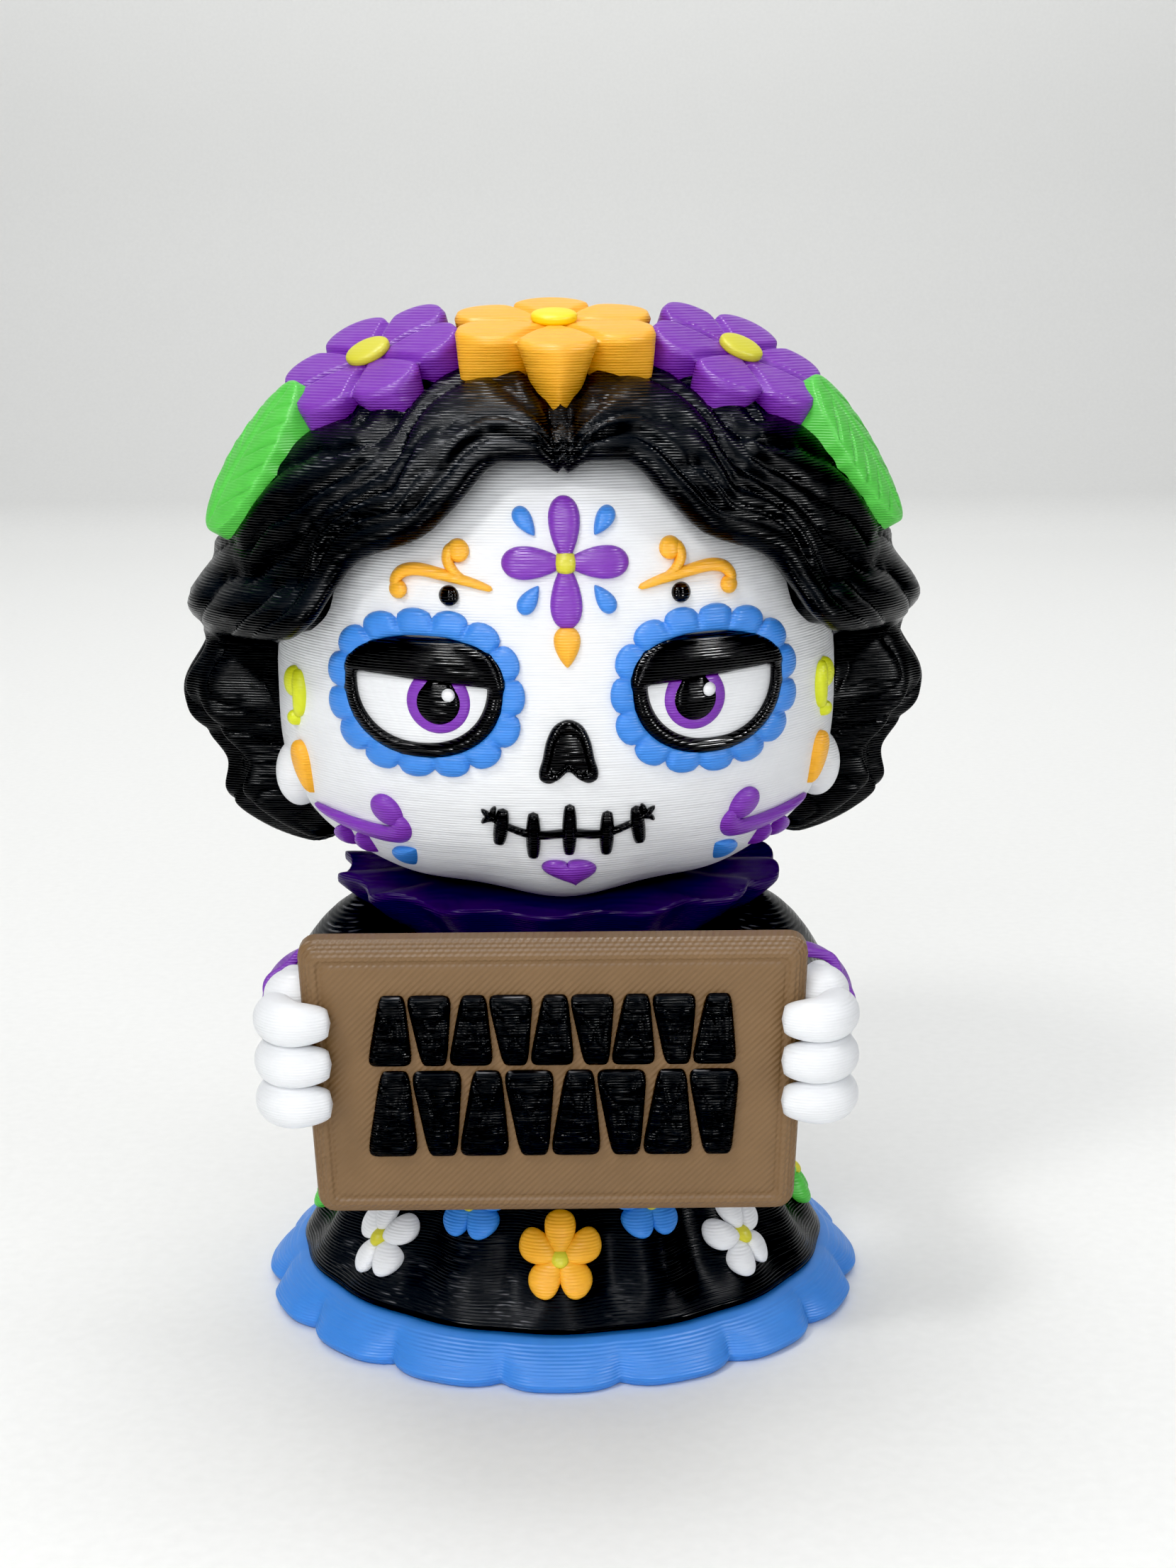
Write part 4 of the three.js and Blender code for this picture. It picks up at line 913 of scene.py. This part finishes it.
# Petals, their share of the radius, rounding of the face, depth of the flutes and of the flower
PETALS, PETAL, SHOULDER, FLUTE, CROWN_DEPTH = 6, 0.37, 0.55, 0.05, 5.6
FACE_END, WALL_END, BASE_SHARE = 0.5, 0.94, 0.9


def petal_reach(b, radius):
    """Edge of a flower with round petals at an angle b from the middle of the nearest one."""
    r = radius * PETAL
    reach = radius - r
    return reach * cos(b) + sqrt(max(0.0, r * r - (reach * sin(b)) ** 2))


def crown_flower(place, radius, narrow):
    """Pillowed petals with creases between them, and fluted walls that narrow downward."""
    half = PI / PETALS

    def rule(t, a):
        b = (a + half) % (2 * half) - half
        edge = petal_reach(b, radius)
        side = abs(b) / half
        if t < FACE_END:
            s = t / FACE_END
            r = (edge - 0.05) * s
            crease = bell(r * sin(half - abs(b)), 0.3) * smooth(0.15, 0.4, s) * (1 - 0.4 * s)
            h = 0.6 * (1 - s**5) ** 0.2 - SHOULDER - (0.7 * crease + 0.2 * smooth(0.55, 0.1, s))
        elif t < WALL_END:
            u = (t - FACE_END) / (WALL_END - FACE_END)
            r = edge * lerp(1, BASE_SHARE, u * u) - narrow * u * side**1.2
            r += FLUTE * (cos(b * 3 * PETALS) - 1) + 0.12 * sin(u * PI)
            h = -SHOULDER - CROWN_DEPTH * u
        else:
            r = (edge * BASE_SHARE - narrow * side**1.2) * (1 - t) / (1 - WALL_END)
            h = -SHOULDER - CROWN_DEPTH
        return place(Vector((r * cos(a), r * sin(a), h)))

    return skin(192, 64, rule)


def button(place):
    """The round centre of a crown flower."""

    def rule(t, a):
        r = BUTTON_HALF * rounded(sin(t * PI), 3)
        return place(Vector((r * cos(a), r * sin(a), 0.15 + 0.5 * rounded(cos(t * PI), 3))))

    return skin(40, 24, rule)


BUTTON_HALF = 1.75
# Place, direction, side and turn of each, then its radius and how much its walls draw in between the petals
MIDDLE_FLOWER = ((-0.1, -5.2, 77.5), (0, -0.21, 0.978), 1, -90)
SIDE_FLOWER = ((14.0, -4.0, 75.1), (0.36, -0.36, 0.86))
CROWN = [
    ("orange", "middle", MIDDLE_FLOWER, 8.2, 4.6, ORANGE, GOLD),
    ("purple_left", "left", (*SIDE_FLOWER, -1, 24), 7.4, 2.4, PURPLE, YELLOW),
    ("purple_right", "right", (*SIDE_FLOWER, 1, 24), 7.4, 2.4, PURPLE, YELLOW),
]
for kind, label, stand, radius, narrow, material, dot in CROWN:
    place = facing(*stand)
    piece(f"crown_flower_{kind}", [crown_flower(place, radius, narrow)], material)
    piece(f"crown_centre_{label}", [button(place)], dot)

LEAF_LONG, LEAF_WIDE, LEAF_EDGE, LEAF_DEPTH, VEIN_PITCH = 6.5, 4.2, 0.75, 3.0, 2.1
LEAF_STAND = ((23.2, -5.0, 67.8), (0.79, -0.36, 0.5))


def veins(u, v):
    """Depth of the carved veins at a place on the leaf, in shares of its length and width."""
    slant = (u * LEAF_LONG - abs(v) * LEAF_WIDE * 0.9) / VEIN_PITCH
    side = bell((slant % 1 - 0.5) * VEIN_PITCH, 0.17) * smooth(0.08, 0.2, abs(v)) * smooth(1.0, 0.85, abs(v))
    middle = 0.3 * bell(v * LEAF_WIDE, 0.3)
    return (middle + 0.34 * side * smooth(0.1, 0.6, abs(v))) * smooth(0.98, 0.75, abs(u))


def leaf(side):
    place = facing(*LEAF_STAND, side)

    def rule(t, a):
        c, s = cos(a), sin(a)
        scallop = 1 + 0.022 * cos(c * LEAF_LONG / VEIN_PITCH * 2 * PI)
        edge = Vector((LEAF_LONG * rounded(c, 1.75), LEAF_WIDE * s * (1 - 0.1 * c) * scallop))
        share = min(1, sin(t * PI) * 1.0001)
        p = edge * share
        if t <= 0.5:
            h = LEAF_EDGE * (1 - share**6) ** (1 / 6) + 0.45 * (1 - share**2) - LEAF_EDGE
            h -= veins(p.x / LEAF_LONG, p.y / LEAF_WIDE) * (1 - share**12)
        else:
            h = -LEAF_EDGE - LEAF_DEPTH * rounded(-cos(t * PI), 6)
        return place(Vector((p.x, p.y, h)))

    return skin(160, 96, rule)


for label, side in SIDES:
    piece(f"crown_leaf_{label}", [leaf(side)], GREEN)


# Collar, dress and hem

FOOT_Z, WAIST_Z, TOP_Z = 3.3, 20.0, 31.6
SKIRT = [(21.5, FOOT_Z), (19.0, 7.7), (17.3, 11.0), (15.6, 15.5), (14.3, 20), (13.7, 25), (12.4, 30.6),
         (9.6, TOP_Z)]
FOLDS, FOLD_DEPTH = 16, 1.0
BODY_DEPTH = 0.88
# Share of the rows that close the dress at its top, and at its foot
CAP = 0.08
SHOULDER_HALF, WRIST_HALF, SLEEVE_POWER = 5.6, 3.1, 14


def skirt_radius(z):
    for (r0, z0), (r1, z1) in zip(SKIRT, SKIRT[1:]):
        if z <= z1:
            return lerp(r0, r1, (z - z0) / (z1 - z0))
    return SKIRT[-1][0]


def on_skirt(azimuth, z, lift=0.0, folds=1.0):
    """A place on the skirt at an azimuth from the front, in radians, and a height."""
    low = 1 - smooth(FOOT_Z, WAIST_Z, z)
    depth = lerp(0.25, 1.15, smooth(FOOT_Z - 0.2, FOOT_Z + 3.5, z))
    wave = (0.5 - 0.5 * cos(azimuth * FOLDS)) * depth
    r = skirt_radius(z) - low * FOLD_DEPTH * wave**1.3 * folds + lift
    return Vector((sin(azimuth) * r, -cos(azimuth) * r * lerp(BODY_DEPTH, 1, low), z))


def limb(points, start, end, power, side):
    """A round limb along points, of one radius at its start and another at its end, with rounded ends."""
    path = [(side * x, y, z) for x, y, z in points]

    def rule(t, a):
        at, way = curve(path, t)
        across = Vector((0, 0, 1)).cross(way).normalized()
        up = way.cross(across)
        w = lerp(start, end, t) * rounded(sin(t * PI), power)
        return at + across * (cos(a) * w) + up * (sin(a) * w)

    return rule


SLEEVE = [(8.0, 2.0, 28.0), (14.4, 0.8, 27.8), (17.6, -7.5, 26.2), (17.8, -17.5, 27.8)]


def dress_rule(t, a):
    azimuth = a + PI / 2
    if t < CAP:
        return Vector((0, 0, TOP_Z)).lerp(on_skirt(azimuth, TOP_Z), t / CAP)
    if t > 1 - CAP:
        return Vector((0, 0, FOOT_Z)).lerp(on_skirt(azimuth, FOOT_Z), (1 - t) / CAP)
    return on_skirt(azimuth, lerp(TOP_Z, FOOT_Z, (t - CAP) / (1 - 2 * CAP)))


sleeves = [skin(40, 60, limb(SLEEVE, SHOULDER_HALF, WRIST_HALF, SLEEVE_POWER, side)) for _, side in SIDES]
piece("dress", [skin(224, 80, dress_rule), *sleeves], BLACK, turn=0)

COLLAR_INNER, COLLAR_BASE, COLLAR_RIM = 8.7, 13.4, 17.3
COLLAR_FOOT, RIM_FOOT, INNER_TOP, RIM_TOP, FRONT_TOP = 30.6, 33.9, 34.85, 34.7, 34.3
PLEATS, PLEAT_UP, PLEAT_OUT = 14, 0.45, 0.6


def collar_rule(a, s):
    azimuth = a + PI / 2
    share = (rounded(cos(s), 6) + 1) / 2
    r = lerp(COLLAR_INNER, COLLAR_RIM, share)
    weight = smooth(COLLAR_BASE - 3, COLLAR_RIM, r)
    low = lerp(COLLAR_FOOT, RIM_FOOT, clamp((r - COLLAR_BASE) / (COLLAR_RIM - COLLAR_BASE)))
    front = bell(azimuth - 2 * PI * (azimuth > PI), 0.8)
    high = lerp(lerp(INNER_TOP, RIM_TOP, smooth(0.1, 0.9, share)), FRONT_TOP, front * smooth(0.5, 1, share))
    z = lerp(low, high, (rounded(sin(s), 9) + 1) / 2)
    z += weight * PLEAT_UP * sin(azimuth * PLEATS) * (1 - 0.7 * front)
    r += weight * PLEAT_OUT * cos(azimuth * PLEATS)
    return Vector((sin(azimuth) * r, -cos(azimuth) * r * lerp(1, BODY_DEPTH, weight), z))


# The collar's colour holds painted shade under the head
piece("collar", [ring(224, 28, collar_rule)], PLUM_AND_SHADE, turn=0)

HEM_BASE, HEM_RIM, HEM_TOP, HEM_HEIGHT, HEM_LIP = 23.7, 24.3, 21.75, 3.15, 0.8
HEM_LOBES = 16
TOP_END, FRONT_END, LIP_END = 0.12, 0.8, 0.9


def hem_rule(t, a):
    azimuth = a + PI / 2
    pitch = 360 / HEM_LOBES
    off = degrees(azimuth) % pitch - pitch / 2
    if t < TOP_END:
        r, z = HEM_TOP * t / TOP_END, HEM_HEIGHT
    elif t < FRONT_END:
        u = (t - TOP_END) / (FRONT_END - TOP_END)
        r, z = lerp(HEM_TOP, HEM_RIM, u) + 0.3 * sin(u * PI), lerp(HEM_HEIGHT, HEM_LIP, u)
    elif t < LIP_END:
        u = (t - FRONT_END) / (LIP_END - FRONT_END)
        r, z = lerp(HEM_RIM, HEM_BASE, u * u), lerp(HEM_LIP, 0, u)
    else:
        r, z = HEM_BASE * (1 - t) / (1 - LIP_END), 0
    flare = (1 - 0.85 * smooth(HEM_LIP, HEM_HEIGHT, z)) * smooth(2, 18, r)
    r -= flare * (0.85 * bell(off, 4.0) + 0.4 * bell(off, 1.1))
    return Vector((sin(azimuth) * r, -cos(azimuth) * r, z))


piece("hem", [skin(384, 48, hem_rule)], BLUE, turn=0)


# Flowers on the skirt


def skirt_pad(azimuth, z, outline, lift=0.9):
    def at(u, v, h):
        tall = z + v * 0.9
        return on_skirt(radians(azimuth) + u / skirt_radius(tall), tall, h, folds=0.6)

    return pillow(outline, at=at, lift=lift, around=36, rows=14, edge=2.6)


# Material, reach and half width of a petal, where it starts, and the turn of the flower
PETAL_FORMS = {
    "orange": (ORANGE, 3.3, 1.55, 0.0, 0),
    "white": (WHITE, 2.9, 1.4, 0.35, 8),
    "blue": (BLUE, 3.0, 1.55, 0.0, 0),
    "green": (GREEN, 3.2, 1.2, 0.2, 0),
}


def skirt_petal(kind, turn):
    _, reach, half, start, twist = PETAL_FORMS[kind]
    way = radians(turn + twist + 90)
    c, s = cos(way), sin(way)

    def outline(a):
        along = reach * 0.6 if a is None else reach / 2 * (1 - cos(a)) + start
        side = 0 if a is None else half * sin(a) * (0.45 + 0.55 * along / reach)
        return (along * c - side * s, along * s + side * c)

    return outline


# Name, azimuth from the front in degrees, height and colour
SKIRT_FLOWERS = [
    ("front", 0, 8.4, "orange"),
    ("inner_left", -23, 11.6, "blue"), ("inner_right", 23, 11.6, "blue"),
    ("outer_left", -47, 7.9, "white"), ("outer_right", 47, 7.9, "white"),
    ("side_left", -90, 8.4, "green"), ("side_right", 90, 8.4, "green"),
    ("back", 180, 8.4, "white"),
]
for label, azimuth, z, kind in SKIRT_FLOWERS:
    name = f"skirt_flower_{label}"
    petals = [skirt_pad(azimuth, z, skirt_petal(kind, turn)) for turn in range(0, 360, 72)]
    piece(name, petals, PETAL_FORMS[kind][0], turn=0)
    eye = skirt_pad(azimuth, z, disc(0, 0, 0.72), lift=1.05)
    piece(f"{name}_eye", [eye], YELLOW, turn=0, in_cad=False)


# Sign, cuffs and hands

SIGN_AT = Vector((-0.2, -23.8, 24.2))
LEAN = Matrix.Rotation(radians(90 + 6.5), 3, "X")
SIGN_TALL, SIGN_WIDE_TOP, SIGN_WIDE_FOOT, SIGN_CORNER = 10.7, 18.1, 17.35, 1.3
STROKE_FOOT = -0.3
# From the middle of the face to the back: share of t, inset and height
SIGN_EDGE = [(0.2, 1.75, 0), (0.22, 1.6, -0.1), (0.26, 1.4, -0.1), (0.28, 1.25, 0.06), (0.34, 0.95, 0.06),
             (0.37, 0.8, -0.06), (0.42, 0.62, -0.1), (0.44, 0.55, -0.3), (0.49, 0.38, -0.34),
             (0.51, 0.32, -0.55), (0.56, 0.15, -0.6), (0.58, 0.08, -0.85), (0.63, 0, -0.95), (0.74, 0, -2.1),
             (0.8, 0.3, -2.5)]


def on_sign(x, v, h):
    return LEAN @ Vector((x, v, h)) + SIGN_AT


def sign_outline(a, inset):
    """A place on the edge of the sign: straight sides that meet in round corners."""
    wide, tall, r = SIGN_WIDE_TOP - inset, SIGN_TALL - inset, max(0.25, SIGN_CORNER - inset)
    arc = PI * r / 2
    level, upright = wide - r, tall - r
    run = (a / (2 * PI) % 1) * 4
    quarter, share = int(run), run % 1
    q = share * (level + upright + arc)
    if quarter % 2:
        q = level + upright + arc - q
    if q < upright:
        x, v = wide, q
    elif q < upright + arc:
        turn = (q - upright) / r
        x, v = level + r * cos(turn), upright + r * sin(turn)
    else:
        x, v = level - (q - upright - arc), tall
    x, v = x * (-1 if quarter in (1, 2) else 1), v * (-1 if quarter in (2, 3) else 1)
    return x * lerp(SIGN_WIDE_FOOT, SIGN_WIDE_TOP, (v / SIGN_TALL + 1) / 2) / SIGN_WIDE_TOP, v


def sign_rule(t, a):
    first, last = SIGN_EDGE[0], SIGN_EDGE[-1]
    if t <= first[0] or t >= last[0]:
        _, inset, h = first if t <= first[0] else last
        share = t / first[0] if t <= first[0] else (1 - t) / (1 - last[0])
        x, v = sign_outline(a, inset)
        return on_sign(x * share, v * share, h)
    for (t0, i0, h0), (t1, i1, h1) in zip(SIGN_EDGE, SIGN_EDGE[1:]):
        if t <= t1:
            u = (t - t0) / (t1 - t0)
            return on_sign(*sign_outline(a, lerp(i0, i1, u)), lerp(h0, h1, u))


piece("sign", [skin(240, 100, sign_rule)], BROWN, turn=0)


def pitted(x, v):
    """Small dents of an uneven print."""
    return 0.09 * sin(x * 5.1 + sin(v * 4.3) * 1.7) * sin(v * 6.3 + cos(x * 3.7) * 1.9)


def sign_stroke(x, centre, height, pitch, flip):
    """A stroke that is wide at its top, or at its foot."""

    def outline(a):
        if a is None:
            return (x, centre)
        c, s = rounded(cos(a), 7), rounded(sin(a), 7)
        half = pitch * lerp(0.34, 0.62, (s * flip + 1) / 2)
        slip = -0.05 * pitch * s * flip
        return (x + c * half * 0.92 + slip, centre + s * height / 2)

    return pillow(outline, lambda x, v, h: on_sign(x, v, max(h, STROKE_FOOT)), 0.78, around=64, rows=28,
                  edge=4, height=lambda p, s: pitted(p.x, p.y) * smooth(0.98, 0.9, s) - 0.05)


def strokes(centre, height, width, count):
    pitch = width / count
    middles = ((i, -width / 2 + pitch * (i + 0.5)) for i in range(count))
    return [sign_stroke(x, centre, height, pitch, 1 if i % 2 else -1) for i, x in middles]


piece("sign_strokes_upper", strokes(4.1, 5.4, 26.0, 9), BLACK, turn=0)
piece("sign_strokes_lower", strokes(-2.4, 6.7, 26.4, 8), BLACK, turn=0)

FINGERS = [(19.0, -20.3), (19.9, -23.6), (18.6, -25.5), (15.9, -25.3)]
FINGER_HEIGHTS, FINGER_HALF, FINGER_POWER = (29.2, 26.15, 23.2), (1.8, 1.65), 9
PALM, PALM_RADII = (19.0, -20.7, 26.2), (2.4, 3.05, 5.9)
THUMB, THUMB_RADII = (18.9, -21.3, 30.1), (2.2, 2.3, 1.9)
CUFF, CUFF_TURN, CUFF_TILT = (17.7, -15.9, 27.8), -6, 82
CUFF_INNER, CUFF_OUTER, CUFF_HALF, CUFF_LOBES = 3.5, 4.3, 1.1, 7


def hand(side):
    paths = [[(x, y, z) for x, y in FINGERS] for z in FINGER_HEIGHTS]
    return [
        *(skin(36, 40, limb(path, *FINGER_HALF, FINGER_POWER, side)) for path in paths),
        skin(40, 32, ball(PALM, PALM_RADII, side)),
        skin(32, 24, ball(THUMB, THUMB_RADII, side)),
    ]


def cuff(side):
    def rule(a, s):
        v = rounded(sin(s), 5) * CUFF_HALF
        r = lerp(CUFF_INNER, CUFF_OUTER, (rounded(cos(s), 5) + 1) / 2)
        if v > 0:
            r *= 1 + 0.05 * cos(a * CUFF_LOBES)
        tilt = Matrix.Rotation(radians(CUFF_TILT), 3, "X")
        turn = Matrix.Rotation(radians(side * CUFF_TURN), 3, "Z")
        p = turn @ (tilt @ Vector((r * cos(a), r * sin(a), v)))
        return p + Vector((side * CUFF[0], *CUFF[1:]))

    return ring(108, 20, rule)


for label, side in SIDES:
    piece(f"hand_{label}", hand(side), WHITE, turn=0)
    piece(f"cuff_{label}", [cuff(side)], PURPLE, turn=0)


# Floor, light and camera

BEND_AT, BEND, FLOOR_WIDE, FLOOR_BACK = 0.56, 0.12, 1.5, 0.5
WALL_SEEN = 0.2
# Front edge and depth of the strip over which painted shade makes the floor darker
NEAR_FROM, NEAR_DEPTH = -0.05, 0.08
DARKEST = 0.009


def sweep():
    """A floor that rises behind the figure in one curve."""
    bm = bmesh.new()
    for v in bmesh.ops.create_grid(bm, x_segments=8, y_segments=90, size=1.0)["verts"]:
        y = v.co.y + FLOOR_BACK
        turn = clamp((y - BEND_AT) / (BEND * PI / 2)) * PI / 2
        rest = max(0.0, y - BEND_AT - BEND * PI / 2)
        height = BEND * (1 - cos(turn)) + rest
        v.co = Vector((v.co.x * FLOOR_WIDE, min(y, BEND_AT) + BEND * sin(turn), height))
    return bm


def paper():
    """Pale paper with painted light and shade: a little brighter in front, and darker along the bend."""
    mat, tree, shader, coord, (_, y, z) = new_material("backdrop")
    rise = z * (1 / WALL_SEEN)
    away = (y - NEAR_FROM) * (1 / NEAR_DEPTH)
    grain = noise(tree, coord, GRAIN, 2)
    tone = ramp(tree, grain.socket, [(0.2, (0.90, 0.905, 0.89)), (0.8, (0.94, 0.945, 0.93))])
    # Painted shade along the bend, and painted light in front that fades further back
    for place, greys in ((rise, [(0, 1), (0.05, 0.84), (1, 0.95)]), (away, [(0, 1), (1, 0.9)])):
        shade = ramp(tree, place.socket, [(at, (grey,) * 3) for at, grey in greys])
        tone = vector(tree, "MULTIPLY", tone, shade)
    tree.links.new(tone, shader.inputs["Base Color"])
    shader.inputs["Roughness"].default_value = 0.6
    return mat


smooth_object("floor", sweep(), paper())

# Large lights shade the figure: place, aim, size, power and colour
SHADING = {
    "top": ((0.0, 0.02, 0.55), (0, 0.0, 0.0), (0.6, 0.5), 1.15),
    "front": ((-0.06, -0.52, 0.22), (0, 0, 0.045), (0.5, 0.34), 1.62),
    "key": ((-0.20, -0.30, 0.42), (0, 0, 0.045), (0.09, 0.09), 0.75, (1, 0.99, 0.97)),
    "fill": ((0.34, -0.16, 0.30), (0, 0, 0.05), (0.14, 0.14), 0.15, (0.97, 0.98, 1)),
    "back": ((0.0, 0.36, 0.6), (0, 0.42, 0), (0.9, 0.4), 2.9),
}
# Small ones are only seen as glints on its layers: place, size and power
GLINTS = [
    ((-0.24, -0.26, 0.40), 0.06, 1.7),
    ((0.08, -0.44, 0.34), 0.05, 1.1),
    ((0.32, -0.14, 0.34), 0.06, 1.5),
    ((-0.06, 0.02, 0.5), 0.10, 1.7),
]


def light(name, at, aim, size, power, colour=(1, 1, 1), glint=False):
    data = bpy.data.lights.new(name, "AREA")
    data.shape = "RECTANGLE"
    data.size, data.size_y = size
    data.energy, data.color = power, colour
    obj = add_object(name, data)
    obj.location = at
    obj.rotation_mode = "QUATERNION"
    obj.rotation_quaternion = (Vector(aim) - Vector(at)).to_track_quat("-Z", "Y")
    obj.visible_diffuse, obj.visible_glossy = not glint, glint


for name, setting in SHADING.items():
    light(name, *setting)
for i, (at, size, power) in enumerate(GLINTS):
    light(f"glint_{i + 1}", at, (0, 0, 0.05), (size, size), power, glint=True)

world = bpy.data.worlds.new("studio")
bpy.context.scene.world = world
world.use_nodes = True
sky = world.node_tree.nodes["Background"]
sky.inputs["Color"].default_value = (0.9, 0.93, 1, 1)
sky.inputs["Strength"].default_value = 0.1

CAMERA_AT, LENS, PITCH, TILT = (0.0024, -0.184, 0.080), 54, radians(12.0), radians(0.5)
camera = add_object("camera", bpy.data.cameras.new("camera"))
camera.data.sensor_width = 36
camera.data.lens = LENS
camera.data.clip_start = 0.01
camera.location = CAMERA_AT
look = Vector((0, cos(PITCH), -sin(PITCH)))
camera.rotation_mode = "QUATERNION"
stance = Matrix.Rotation(TILT, 3, look) @ look.to_track_quat("-Z", "Y").to_matrix()
camera.rotation_quaternion = stance.to_quaternion()
bpy.context.scene.camera = camera
view = bpy.context.scene.view_settings
view.view_transform = "Standard"
# The photo's darkest tones run together
view.use_curve_mapping = True
view.curve_mapping.black_level = (DARKEST,) * 3
view.curve_mapping.update()
